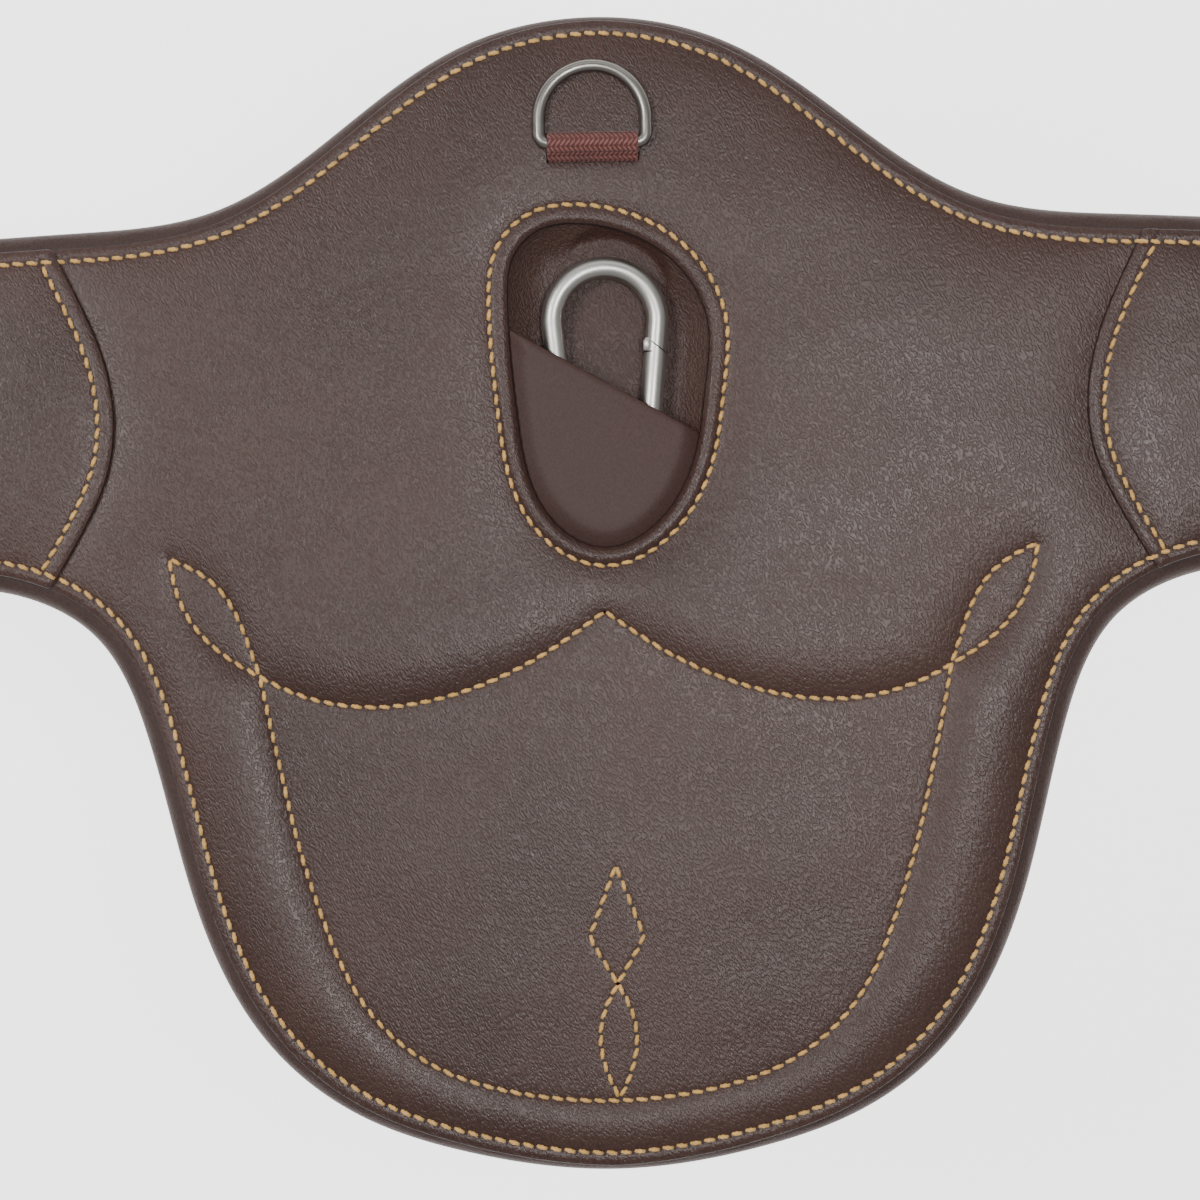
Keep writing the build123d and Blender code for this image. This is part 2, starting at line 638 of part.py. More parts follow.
# ---------------------------------------------------------------- elastic straps and buckles
bar_bore = buckle_wire / 2 + bore_gap
loop_rise = elastic_z - bar_z
loop_tail = (-loop_length, loop_rise * loop_length / elastic_free)
roller_length = buckle_inner + buckle_wire - 2 * buckle_corner - 2 * soft_gap
frame_half = (buckle_inner + buckle_wire) / 2
eye_radius = bar_z - soft_gap
for side_name, side in sides.items():
    for row_name, row in strap_rows.items():
        strap_name = f"{side_name}_{row_name}"
        bar = (side * bar_x, row, bar_z)
        level = Plane(bar, x_dir=(side, 0, 0), z_dir=(0, -side, 0))
        leaning = Plane(
            bar, x_dir=(side * cos(roller_tilt), 0, -sin(roller_tilt)), z_dir=(0, -side, 0)
        )
        flat = Plane(
            bar,
            x_dir=(side * cos(roller_tilt), 0, -sin(roller_tilt)),
            z_dir=(side * sin(roller_tilt), 0, cos(roller_tilt)),
        )

        with BuildPart() as elastic:
            with BuildSketch(level):
                add(teardrop(bar_z, loop_tail, elastic_thick))
                with BuildLine():
                    Polyline(
                        (loop_tail[0], loop_tail[1] + elastic_layer),
                        (-elastic_free, loop_rise + elastic_layer),
                        (-elastic_free - elastic_root, loop_rise + elastic_layer),
                        (-elastic_free - elastic_root, loop_rise - elastic_layer),
                        (-elastic_free, loop_rise - elastic_layer),
                        (loop_tail[0], loop_tail[1] - elastic_layer),
                        close=True,
                    )
                make_face()
                hollow_tail = (loop_tail[0] * loop_hollow, loop_tail[1] * loop_hollow)
                add(teardrop(bar_bore, hollow_tail, tape_end), mode=Mode.SUBTRACT)
            extrude(amount=elastic_wide / 2, both=True)
            with BuildSketch(level):
                Rectangle(4 * bar_z, 4 * bar_z)
            extrude(amount=tongue_slot / 2, both=True, mode=Mode.SUBTRACT)
        elastic.part.label = f"elastic_{strap_name}"
        export_step(elastic.part, f"parts/elastic_{strap_name}.step")

        with BuildPart() as frame:
            with BuildLine(flat) as frame_path:
                Polyline(
                    (buckle_reach / 2, frame_half), (0, frame_half), (0, -frame_half),
                    (buckle_reach, -frame_half), (buckle_reach, frame_half),
                    (buckle_reach / 2, frame_half),
                )
                corners = frame_path.vertices().sort_by(Axis.X)
                fillet(corners[:2] + corners[-2:], radius=buckle_corner)
            with BuildSketch(Plane(frame_path.line @ 0, z_dir=frame_path.line % 0)):
                Circle(buckle_wire / 2)
            sweep(path=frame_path.line)
        frame.part.label = f"buckle_frame_{strap_name}"
        export_step(frame.part, f"parts/buckle_frame_{strap_name}.step")

        with BuildPart() as roller:
            with BuildSketch(leaning):
                with Locations((buckle_reach, 0)):
                    Circle(roller_radius)
                    Circle(buckle_wire / 2 + bore_gap, mode=Mode.SUBTRACT)
            extrude(amount=roller_length / 2, both=True)
        roller.part.label = f"buckle_roller_{strap_name}"
        export_step(roller.part, f"parts/buckle_roller_{strap_name}.step")

        with BuildPart() as tongue:
            with BuildSketch(leaning):
                Circle(eye_radius)
                rest_height = roller_radius + bore_gap
                with BuildLine():
                    Polyline(
                        (0, eye_radius - tongue_thick),
                        (buckle_reach - 2 * roller_radius, rest_height),
                        (buckle_reach + tongue_overhang, rest_height),
                        (buckle_reach + tongue_overhang, rest_height + tongue_thick),
                        (buckle_reach - 2 * roller_radius, rest_height + tongue_thick),
                        (0, eye_radius),
                        close=True,
                    )
                make_face()
                Circle(bar_bore, mode=Mode.SUBTRACT)
            extrude(amount=tongue_wide / 2, both=True)
        tongue.part.label = f"buckle_tongue_{strap_name}"
        export_step(tongue.part, f"parts/buckle_tongue_{strap_name}.step")

# ---------------------------------------------------------------- seams
rim_inset = edge_roll + seam_inset
box_diagonal = sqrt(box_seam_long**2 + box_seam_wide**2)
box_seam_lean = degrees(atan(box_seam_wide / box_seam_long))
half_thread = thread_wide / 2
with BuildSketch() as rim_line:
    add(girth_outline(rim_inset - half_thread))
    add(girth_outline(rim_inset + half_thread), mode=Mode.SUBTRACT)

for edge_name, edge_align in {"chest": Align.MIN, "belly": Align.MAX}.items():
    with BuildPart() as edge_seam:
        with BuildSketch(Plane.XY.offset(front_top)):
            add(rim_line.sketch)
            with Locations((0, band_y)):
                Rectangle(
                    2 * bend_x, girth_length, align=(Align.CENTER, edge_align), mode=Mode.INTERSECT
                )
        extrude(amount=thread_high)
    edge_seam.part.label = f"seam_{edge_name}_edge"
    export_step(edge_seam.part, f"parts/seam_{edge_name}_edge.step")

for side_name, side in sides.items():
    with BuildPart() as arm_seam:
        with BuildSketch(Plane.XY.offset(cover_top)):
            add(rim_line.sketch)
            add(cover_region(side, thread_wide), mode=Mode.INTERSECT)
        with BuildSketch(Plane.XY.offset(front_top)):
            add(rim_line.sketch)
            with Locations((side * (bend_x + soft_gap), band_y)):
                outboard = Align.MIN if side > 0 else Align.MAX
                Rectangle(
                    girth_length, girth_length, align=(outboard, Align.CENTER), mode=Mode.INTERSECT
                )
            add(cover_region(side, -thread_wide), mode=Mode.SUBTRACT)
        extrude(amount=thread_high)
    arm_seam.part.label = f"seam_arm_edge_{side_name}"
    export_step(arm_seam.part, f"parts/seam_arm_edge_{side_name}.step")

    with BuildPart() as cover_seam:
        with BuildSketch(Plane.XY.offset(cover_top)):
            add(girth_outline(rim_inset + thread_wide))
            add(cover_region(side, cover_seam_inset - half_thread), mode=Mode.INTERSECT)
            add(cover_region(side, cover_seam_inset + half_thread), mode=Mode.SUBTRACT)
        extrude(amount=thread_high)
    cover_seam.part.label = f"seam_cover_{side_name}"
    export_step(cover_seam.part, f"parts/seam_cover_{side_name}.step")

    for row_name, row in strap_rows.items():
        with BuildPart() as box_seam:
            with BuildSketch(Plane.XY.offset(cover_top)):
                with Locations((side * root_middle, row)):
                    Rectangle(box_seam_long + thread_wide, box_seam_wide + thread_wide)
                    Rectangle(
                        box_seam_long - thread_wide, box_seam_wide - thread_wide, mode=Mode.SUBTRACT
                    )
                    for lean in (box_seam_lean, -box_seam_lean):
                        Rectangle(box_diagonal, thread_wide, rotation=lean)
            extrude(amount=thread_high)
        box_seam.part.label = f"seam_strap_{side_name}_{row_name}"
        export_step(box_seam.part, f"parts/seam_strap_{side_name}_{row_name}.step")

with BuildPart() as pocket_stitches:
    with BuildSketch(Plane.XY.offset(front_top)):
        add(pocket_outline(pocket_seam + half_thread))
        add(pocket_outline(pocket_seam - half_thread), mode=Mode.SUBTRACT)
    extrude(amount=thread_high)
pocket_stitches.part.label = "seam_pocket"
export_step(pocket_stitches.part, "parts/seam_pocket.step")

with BuildPart() as guard_seam:
    with BuildSketch(Plane.XY.offset(front_top)):
        with BuildLine(mode=Mode.PRIVATE) as side_line:
            Spline(
                *on_guard([leaf_tip, *reversed(leaf_upper), guard_corner, *guard_points, guard_toe]),
                *on_guard([*reversed(guard_points), guard_corner, *leaf_upper, leaf_tip], -1),
            )
        add(ribbon(side_line.edge(), thread_wide))
        for side in sides.values():
            with BuildLine(mode=Mode.PRIVATE) as belly_line:
                Spline(
                    *on_guard([leaf_tip, *leaf_lower, guard_corner, *belly_points, belly_peak], side)
                )
            add(ribbon(belly_line.edge(), thread_wide))
    extrude(amount=thread_high)
guard_seam.part.label = "seam_guard"
export_step(guard_seam.part, "parts/seam_guard.step")

motif_toe = on_guard([guard_toe])[0][1]
with BuildPart() as motif_seam:
    with BuildSketch(Plane.XY.offset(front_top)):
        for side in sides.values():
            with BuildLine(mode=Mode.PRIVATE) as motif_line:
                Spline(*[(motif_x + side * x, motif_toe + thread_wide + y) for x, y in motif_points])
            add(ribbon(motif_line.edge(), thread_wide))
    extrude(amount=thread_high)
motif_seam.part.label = "seam_motif"
export_step(motif_seam.part, "parts/seam_motif.step")
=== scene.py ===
"""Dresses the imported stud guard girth: leather, stitching, tapes and metal, on a pale floor."""

import math
import random

import bpy
import numpy as np
from bpy.props import FloatProperty, PointerProperty, StringProperty
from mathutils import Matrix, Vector, kdtree
from mathutils.geometry import delaunay_2d_cdt


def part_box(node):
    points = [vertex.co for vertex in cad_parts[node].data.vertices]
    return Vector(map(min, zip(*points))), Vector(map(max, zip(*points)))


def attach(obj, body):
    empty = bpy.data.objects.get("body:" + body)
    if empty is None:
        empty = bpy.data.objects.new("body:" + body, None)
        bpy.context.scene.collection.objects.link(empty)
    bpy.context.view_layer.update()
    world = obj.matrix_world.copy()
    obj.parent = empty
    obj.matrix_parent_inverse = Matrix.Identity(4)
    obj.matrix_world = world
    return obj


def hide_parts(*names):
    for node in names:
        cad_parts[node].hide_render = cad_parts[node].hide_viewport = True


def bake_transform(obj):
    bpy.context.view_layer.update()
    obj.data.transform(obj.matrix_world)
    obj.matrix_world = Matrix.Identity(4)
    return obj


bl_info = {
    "name": "Stud guard girth",
    "version": (1, 0, 0),
    "blender": (4, 5, 0),
    "location": "View3D > Sidebar > Girth",
    "description": "Builds the leather, stitching, tapes and stage of a stud guard girth",
    "category": "Object",
}

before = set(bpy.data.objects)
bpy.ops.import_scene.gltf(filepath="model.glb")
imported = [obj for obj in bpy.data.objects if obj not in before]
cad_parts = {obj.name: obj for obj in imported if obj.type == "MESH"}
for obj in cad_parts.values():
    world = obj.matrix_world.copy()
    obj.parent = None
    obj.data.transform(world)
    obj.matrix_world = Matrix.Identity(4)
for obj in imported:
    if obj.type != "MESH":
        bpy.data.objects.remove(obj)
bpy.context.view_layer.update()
MM = 0.001


def box_mm(node):
    """A frame node's lowest and highest corners, in millimetres."""
    low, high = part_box(node)
    return np.array(low) / MM, np.array(high) / MM


# ---------------------------------------------------------------- places in mm, from the frame
GUARD_LOW, GUARD_HIGH = box_mm("lining_center")
LEATHER_LOW, LEATHER_HIGH = box_mm("front_leather_center")
STRAP_LOW, STRAP_HIGH = box_mm("load_strap_center")
TAPE_LOW, TAPE_HIGH = box_mm("d_ring_tape")
CHEST_Y, TOE_Y = GUARD_HIGH[1], GUARD_LOW[1]
BAND_Y = (STRAP_LOW[1] + STRAP_HIGH[1]) / 2
ARM_END = box_mm("lining_right")[1][0]
BEND_X = GUARD_HIGH[0]
FOAM_TOP, FRONT_TOP = LEATHER_LOW[2], LEATHER_HIGH[2]
COVER_TOP = box_mm("arm_cover_right")[1][2]
POCKET_FLOOR = STRAP_HIGH[2] + 1.1
TONGUE_ROOM = 3.9  # half the width of an elastic's opening for its tongue
HOOK_TRAVEL = 6.0  # how far the hook slides out of its place
SPLIT_X = 142.0  # where the arms' pieces take over from the middle's
HALF_WIDTH = 141.0
BAND_WIDTH, ARM_END_WIDTH, ARM_CORNER = 110.0, 96.0, 18.0
BAND_TOP, BAND_LOW = BAND_Y + BAND_WIDTH / 2, BAND_Y - BAND_WIDTH / 2
SHOULDER, HIP = CHEST_Y - BAND_TOP, BAND_LOW - TOE_Y
SIDES = {"left": -1, "right": 1}
ROLL_PROUD = 1.2  # how far the padding pushes the rolled edge out past its cut line
RIM_SEAM_IN = 3.9  # from the cut leather's edge to the seam beside it
LIP = 5.6  # from the pocket's mouth to its seam
FRONT_SUNK = 0.25  # how far thread and foam let the unpadded front leather lie below the CAD's
COVER_SEAM_IN = 4.8  # from an arm cover's inner edge to its seam
# Gaps from a line to the rows of points that let a sheet take its shape there.
SEAM_ROWS = (0, 0.6, -0.6, 1.3, -1.3)
EDGE_ROWS = (0.35, 0.8, 1.6, 2.6)

# Shares of half width and of the shoulder's or hip's height, as the outline runs.
SHOULDER_SHARES = [(1.17, 0.0), (0.851, 0.095), (0.567, 0.474), (0.284, 0.878)]
HIP_SHARES = [
    (1.347, 0.0), (1.135, 0.077), (1.016, 0.255), (0.901, 0.579), (0.748, 0.79), (0.56, 0.903),
    (0.33, 0.966),
]
ARM_LEAD = 25.0

# Seams of the guard, in the same shares of half width and hip.
GUARD_SIDE = [
    (0.759, 0.188), (0.727, 0.308), (0.688, 0.443), (0.638, 0.568), (0.546, 0.719), (0.39, 0.824),
    (0.213, 0.869),
]
GUARD_TOE = (0.0, 0.885)
GUARD_CORNER = (0.767, 0.158)
BELLY = [(0.709, 0.181), (0.511, 0.213), (0.284, 0.181), (0.142, 0.131)]
BELLY_PEAK = (0.0, 0.058)
LEAF_UPPER = [(0.784, 0.119), (0.816, 0.054), (0.869, -0.003)]
LEAF_TIP = (0.963, -0.044)
LEAF_LOWER = [(0.942, 0.027), (0.89, 0.09), (0.816, 0.136)]
LEAF_RISE = 1.4
MOTIF_X = 1.9
MOTIF_DIAMOND = [(0.0, 73.5), (8.6, 51.0), (0.0, 36.5)]
MOTIF_DROP = [(0.0, 36.5), (4.6, 27.0), (5.6, 17.5), (3.4, 8.0), (0.2, 1.0)]

# The pocket's mouth, and its flap's free edge, from the arms' centre line.
MOUTH = [
    (0.8, -45.9), (16.0, -39.4), (28.8, -19.5), (33.1, 4.3), (34.0, 25.2), (25.5, 41.8),
    (6.5, 53.7), (-5.8, 55.9), (-18.2, 54.2), (-26.6, 46.0), (-28.8, 33.0), (-26.3, -5.2),
    (-20.1, -30.9), (-7.8, -43.6),
]
FLAP_POINT = (0.8, 7.1)
FLAP_ANGLE = math.radians(-29.8)
COVER_EDGE = [
    (25.0, -61.0), (10.0, -36.0), (3.0, -20.0), (0.9, 0.0), (4.5, 18.0), (13.0, 38.0), (24.0, 60.0),
]


# ---------------------------------------------------------------- curves
def spline(points, step=1.0, closed=False):
    """A smooth line through the points, as evenly spaced points about a step apart."""
    pts = np.array(points, float)
    if closed:
        wrap = 4
        pts = np.vstack([pts[-wrap:], pts, pts[: wrap + 1]])
    knots = np.concatenate([[0], np.cumsum(np.linalg.norm(np.diff(pts, axis=0), axis=1))])
    gaps = np.diff(knots)
    count = len(pts)
    matrix = np.eye(count)
    right = np.zeros_like(pts)
    for i in range(1, count - 1):
        matrix[i, i - 1 : i + 2] = gaps[i - 1], 2 * (gaps[i - 1] + gaps[i]), gaps[i]
        slope_after = (pts[i + 1] - pts[i]) / gaps[i]
        slope_before = (pts[i] - pts[i - 1]) / gaps[i - 1]
        right[i] = 6 * (slope_after - slope_before)
    bend = np.linalg.solve(matrix, right)
    first, last = (knots[wrap], knots[wrap + len(points)]) if closed else (knots[0], knots[-1])
    dense = np.linspace(first, last, 40 * count)
    at = np.clip(np.searchsorted(knots, dense, side="right") - 1, 0, count - 2)
    h = gaps[at][:, None]
    a = (knots[at + 1] - dense)[:, None]
    b = (dense - knots[at])[:, None]
    line = (
        bend[at] * a**3 / (6 * h)
        + bend[at + 1] * b**3 / (6 * h)
        + (pts[at] / h - bend[at] * h / 6) * a
        + (pts[at + 1] / h - bend[at + 1] * h / 6) * b
    )
    return even(line, step, closed)


def even(line, step, closed=False):
    """The same line with evenly spaced points."""
    run = np.concatenate([[0], np.cumsum(np.linalg.norm(np.diff(line, axis=0), axis=1))])
    count = max(2, round(run[-1] / step))
    want = np.linspace(0, run[-1], count + 1)
    if closed:
        want = want[:-1]
    return np.column_stack([np.interp(want, run, line[:, k]) for k in range(line.shape[1])])


def even_loop(line, step):
    """A closed line with evenly spaced points, the last a step before the first."""
    return even(np.vstack([line, line[:1]]), step, closed=True)


def tangents(line, closed=False):
    """Unit directions along a line."""
    if closed:
        way = np.roll(line, -1, axis=0) - np.roll(line, 1, axis=0)
    else:
        way = np.gradient(line, axis=0)
    return way / np.linalg.norm(way, axis=1)[:, None]


def beside(line, distance, closed=False):
    """A line to the left of another, at a distance that may change along it."""
    way = tangents(line, closed)
    left = np.column_stack([-way[:, 1], way[:, 0]])
    return line + left * np.reshape(distance, (-1, 1))


def on_guard(shares, side=1):
    """Points of the guard from shares of its half width and hip."""
    return [(side * HALF_WIDTH * u, BAND_LOW - HIP * v) for u, v in shares]


def mirror_join(half):
    """A half line that ends on the girth's middle, joined to its mirror image."""
    return half + [(-x, y) for x, y in reversed(half[:-1])]


def rolled_outline():
    """The girth's outline, counter-clockwise from the right arm's end."""
    top_end = np.array([ARM_END, BAND_Y + ARM_END_WIDTH / 2])
    low_end = np.array([ARM_END, BAND_Y - ARM_END_WIDTH / 2])
    shoulder = [np.array([HALF_WIDTH * u, BAND_TOP + SHOULDER * v]) for u, v in SHOULDER_SHARES]
    hip = [np.array(p) for p in on_guard(HIP_SHARES)]
    top_run = (top_end - shoulder[0]) / np.linalg.norm(top_end - shoulder[0])
    low_run = (low_end - hip[0]) / np.linalg.norm(low_end - hip[0])
    chest = [tuple(p) for p in (shoulder[0] + top_run * ARM_LEAD, *shoulder, (0, CHEST_Y))]
    toe = [tuple(p) for p in (hip[0] + low_run * ARM_LEAD, *hip, (0, TOE_Y))]
    corners = []
    for corner, start in ((low_end, -90), (top_end, 0)):
        centre = corner + np.array([-ARM_CORNER, ARM_CORNER if start else -ARM_CORNER])
        turn = np.radians(start + np.linspace(0, 90, 12))
        corners += [tuple(centre + ARM_CORNER * np.array([math.cos(t), math.sin(t)])) for t in turn]
    mirrored_corners = [(-x, y) for x, y in reversed(corners)]
    chest_line = spline(mirror_join(chest))
    toe_line = spline(mirror_join(toe))[::-1]
    loop = even_loop(np.vstack([corners, chest_line, mirrored_corners, toe_line]), 1.0)
    return even(beside(loop, -ROLL_PROUD, closed=True), 1.0, closed=True)


OUTLINE = rolled_outline()
# How much of the rolled lining shows outside the cut leather: least at the chest and the toe.
ROLL_SHOWN = np.interp(np.abs(OUTLINE[:, 0]), [0, 40, 100, 150], [2.3, 3.1, 4.3, 5.6])
LEATHER_EDGE = beside(OUTLINE, ROLL_SHOWN, closed=True)
RIM_SEAM = beside(OUTLINE, ROLL_SHOWN + RIM_SEAM_IN, closed=True)
MOUTH_LINE = spline([(x, BAND_Y + y) for x, y in MOUTH], 1.0, closed=True)
POCKET_SEAM = beside(MOUTH_LINE, -LIP, closed=True)
SIDE_SEAM = spline(
    on_guard([LEAF_TIP, *reversed(LEAF_UPPER), GUARD_CORNER, *GUARD_SIDE, GUARD_TOE])
    + on_guard([*reversed(GUARD_SIDE), GUARD_CORNER, *LEAF_UPPER, LEAF_TIP], -1)
)
BELLY_SEAMS = [
    spline(on_guard([LEAF_TIP, *LEAF_LOWER, GUARD_CORNER, *BELLY, BELLY_PEAK], side))
    for side in SIDES.values()
]
MOTIF_TOE = on_guard([GUARD_TOE])[0][1]
DIAMOND_SEAMS = [
    even(np.array([(MOTIF_X + side * x, MOTIF_TOE + y) for x, y in MOTIF_DIAMOND]), 0.5)
    for side in SIDES.values()
]
DROP_SEAMS = [
    spline([(MOTIF_X + side * x, MOTIF_TOE + y) for x, y in MOTIF_DROP], 0.5)
    for side in SIDES.values()
]


def cover_line(side, inset=0.0):
    """An arm cover's inner edge, or a line inside it."""
    edge = spline([(side * (BEND_X + x), BAND_Y + y) for x, y in COVER_EDGE])
    return beside(edge, -side * inset)


# ---------------------------------------------------------------- distances and heights
def plan_tree(points):
    """A search tree of points by their places in plan."""
    tree = kdtree.KDTree(len(points))
    for i, point in enumerate(points):
        tree.insert((point[0], point[1], 0), i)
    tree.balance()
    return tree


def open_lines(lines):
    """Each line, marked as one that doesn't close."""
    return [(line, False) for line in lines]


def distance(points, *lines):
    """How far each point is from the nearest of some lines, each given with whether it closes."""
    tree = plan_tree(np.vstack([
        even(np.vstack([line, line[:1]]) if closed else line, 0.5) for line, closed in lines
    ]))
    return np.array([tree.find((x, y, 0))[2] for x, y in points])


def inside(points, loop):
    """Which points lie inside a closed line."""
    points = np.asarray(points)
    result = np.zeros(len(points), bool)
    x, y = points[:, 0], points[:, 1]
    for (x0, y0), (x1, y1) in zip(loop, np.roll(loop, -1, axis=0)):
        if y0 != y1:
            crosses = (y0 > y) != (y1 > y)
            result ^= crosses & (x < x0 + (y - y0) * (x1 - x0) / (y1 - y0))
    return result


def smooth_step(value, low, high):
    """0 below low, 1 above high, and a smooth rise between."""
    t = np.clip((value - low) / (high - low), 0, 1)
    return t * t * (3 - 2 * t)


def cover_edge_x(y):
    """How far from the middle an arm cover's inner edge is, at each height."""
    line = cover_line(1)
    return np.interp(y, line[:, 1], line[:, 0])


# ---------------------------------------------------------------- sheets of leather as meshes
def thin_out(points, gap):
    """The points in their order, without any that comes nearer than gap to an earlier one."""
    kept, cells = [], {}
    for i, (x, y) in enumerate(points):
        home = (math.floor(x / gap), math.floor(y / gap))
        near = [
            j
            for dx in (-1, 0, 1)
            for dy in (-1, 0, 1)
            for j in cells.get((home[0] + dx, home[1] + dy), ())
        ]
        if all((x - points[j][0]) ** 2 + (y - points[j][1]) ** 2 >= gap * gap for j in near):
            kept.append(i)
            cells.setdefault(home, []).append(i)
    return points[kept]


def flat_sheet(loops, rows, spacing):
    """Points and triangles of a flat sheet: an outer loop, holes, and rows that points must lie on."""
    edge = np.vstack(loops)
    tree = plan_tree(edge)
    held = thin_out(np.vstack(rows), 0.4)
    held = np.array([(x, y) for x, y in held if tree.find((x, y, 0))[2] > 0.35])
    low, high = loops[0].min(axis=0), loops[0].max(axis=0)
    columns = np.arange(low[0], high[0], spacing)
    lines = np.arange(low[1], high[1], spacing * 0.866)
    grid = np.array([
        (x + (k % 2) * spacing / 2, y) for k, y in enumerate(lines) for x in columns
    ])
    tree = plan_tree(np.vstack([edge, held]))
    clear = [tree.find((x, y, 0))[2] > 0.7 * spacing for x, y in grid]
    free = np.vstack([held, grid[clear]])
    keep = inside(free, loops[0])
    for hole in loops[1:]:
        keep &= ~inside(free, hole)
    points = np.vstack([edge, free[keep]])
    borders, start = [], 0
    for loop in loops:
        count = len(loop)
        borders += [(start + i, start + (i + 1) % count) for i in range(count)]
        start += count
    made = delaunay_2d_cdt([Vector(p) for p in points], borders, [], 0, 1e-6)
    corners = np.array([tuple(v) for v in made[0]])
    faces = np.array([f for f in made[2] if len(f) == 3])
    middle = corners[faces].mean(axis=1)
    keep = inside(middle, loops[0])
    for hole in loops[1:]:
        keep &= ~inside(middle, hole)
    faces = faces[keep]
    a, b, c = (corners[faces[:, k]] for k in range(3))
    turn = (b[:, 0] - a[:, 0]) * (c[:, 1] - a[:, 1]) - (b[:, 1] - a[:, 1]) * (c[:, 0] - a[:, 0])
    faces[turn < 0] = faces[turn < 0][:, ::-1]
    return corners, faces[np.abs(turn) > 1e-7]


def pad_up(points, faces, held, plateau, foam_reach):
    """Heights of a leather skin that foam lifts to its plateau and stitching holds down.

    The skin is a stretched membrane on an elastic bed, solved by conjugate gradients.
    """
    count = len(points)
    first, second, weight = [], [], []
    area = np.zeros(count)
    for k in range(3):
        i, j, o = faces[:, k], faces[:, (k + 1) % 3], faces[:, (k + 2) % 3]
        u, v = points[i] - points[o], points[j] - points[o]
        cross = np.abs(u[:, 0] * v[:, 1] - u[:, 1] * v[:, 0])
        first.append(i)
        second.append(j)
        weight.append(np.clip((u * v).sum(axis=1) / np.maximum(cross, 1e-6), 0, 20) / 2)
        area += np.bincount(i, cross / 6, count)
    first, second, weight = np.concatenate(first), np.concatenate(second), np.concatenate(weight)
    bed = area / foam_reach**2
    stiff = np.bincount(first, weight, count) + np.bincount(second, weight, count) + bed
    free = ~held

    def pull(h):
        flow = weight * (h[first] - h[second])
        return (np.bincount(first, flow, count) - np.bincount(second, flow, count) + bed * h) * free

    height = np.zeros(count)
    rest = bed * plateau * free
    lead = rest / stiff
    way = lead.copy()
    power = rest @ lead
    for _ in range(400):
        pulled = pull(way)
        step = power / max(way @ pulled, 1e-12)
        height += step * way
        rest = rest - step * pulled
        lead = rest / stiff
        fresh = rest @ lead
        if fresh < 1e-8:
            break
        way = lead + fresh / power * way
        power = fresh
    return height


def hang_edge(verts, loop, steps, outward=1):
    """A leather sheet's cut side: rows below a border, each (out, down) from it."""
    tree = plan_tree(verts)
    top = np.array([tree.find((x, y, 0))[1] for x, y in loop])
    way = tangents(loop, True)
    out = np.column_stack([way[:, 1], -way[:, 0]]) * outward
    rows, above = [], top
    sides = []
    start = len(verts)
    for push, drop in steps:
        row = np.column_stack([loop + out * push, verts[top][:, 2] - drop])
        rows.append(row)
        below = np.arange(start, start + len(loop))
        quads = np.column_stack([above, below, np.roll(below, -1), np.roll(above, -1)])
        sides += (quads if outward > 0 else quads[:, ::-1]).tolist()
        above = below
        start += len(loop)
    return np.vstack([verts] + rows), sides


def vertex_normals(verts, faces):
    """Smooth normals of a mesh of triangles and quads."""
    normal = np.zeros_like(verts)
    for size in (3, 4):
        some = np.array([f for f in faces if len(f) == size])
        if len(some):
            across = verts[some[:, 2]] - verts[some[:, 0]]
            other = verts[some[:, size - 1]] - verts[some[:, 1]]
            face = np.cross(across, other) if size == 4 else np.cross(
                verts[some[:, 1]] - verts[some[:, 0]], verts[some[:, 2]] - verts[some[:, 0]]
            )
            for k in range(size):
                np.add.at(normal, some[:, k], face)
    return normal / np.maximum(np.linalg.norm(normal, axis=1), 1e-9)[:, None]


def make_piece(name, verts, faces, material, second=None, second_faces=(), normals=None):
    """A smooth-shaded mesh object from millimetre points; second_faces take a second material."""
    mesh = bpy.data.meshes.new(name)
    mesh.from_pydata((np.asarray(verts) * MM).tolist(), [], [tuple(f) for f in faces])
    mesh.shade_smooth()
    mesh.materials.append(material)
    if second is not None:
        mesh.materials.append(second)
        picked = [int(i in second_faces) for i in range(len(faces))]
        mesh.polygons.foreach_set("material_index", picked)
    if normals is not None:
        mesh.normals_split_custom_set_from_vertices([tuple(n) for n in normals])
    piece = bpy.data.objects.new(name, mesh)
    bpy.context.scene.collection.objects.link(piece)
    return piece


def in_thirds(
    name, verts, faces, material, second=None, second_from=None, stands_for=""
):
    """One layer of the girth as its middle and its two arms."""
    normals = vertex_normals(verts, faces)
    middle = np.array([verts[list(f)][:, 0].mean() for f in faces])
    pieces = {}
    for part, chosen in (
        ("center", np.abs(middle) <= SPLIT_X),
        ("left", middle < -SPLIT_X),
        ("right", middle > SPLIT_X),
    ):
        picks = np.flatnonzero(chosen)
        used = sorted({v for i in picks for v in faces[i]})
        place = {v: i for i, v in enumerate(used)}
        own = [tuple(place[v] for v in faces[i]) for i in picks]
        dark = {k for k, i in enumerate(picks) if second_from is not None and i >= second_from}
        piece = make_piece(
            f"{name}_{part}", verts[used], own, material, second, dark, normals[used]
        )
        pieces[part] = piece
        settle(piece, part)
        if stands_for:
            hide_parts(f"{stands_for}_{part}")
    return pieces


def settle(piece, part):
    """Joins a piece to the girth's middle; an arm's piece keeps its place, baked into its mesh."""
    if part == "center":
        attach(piece, "girth")
    else:
        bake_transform(piece)


# ---------------------------------------------------------------- finishes
def linear(colour):
    """An sRGB hex colour as a linear RGBA."""
    parts = [int(colour[i : i + 2], 16) / 255 for i in (1, 3, 5)]
    return (*[c / 12.92 if c <= 0.04045 else ((c + 0.055) / 1.055) ** 2.4 for c in parts], 1.0)


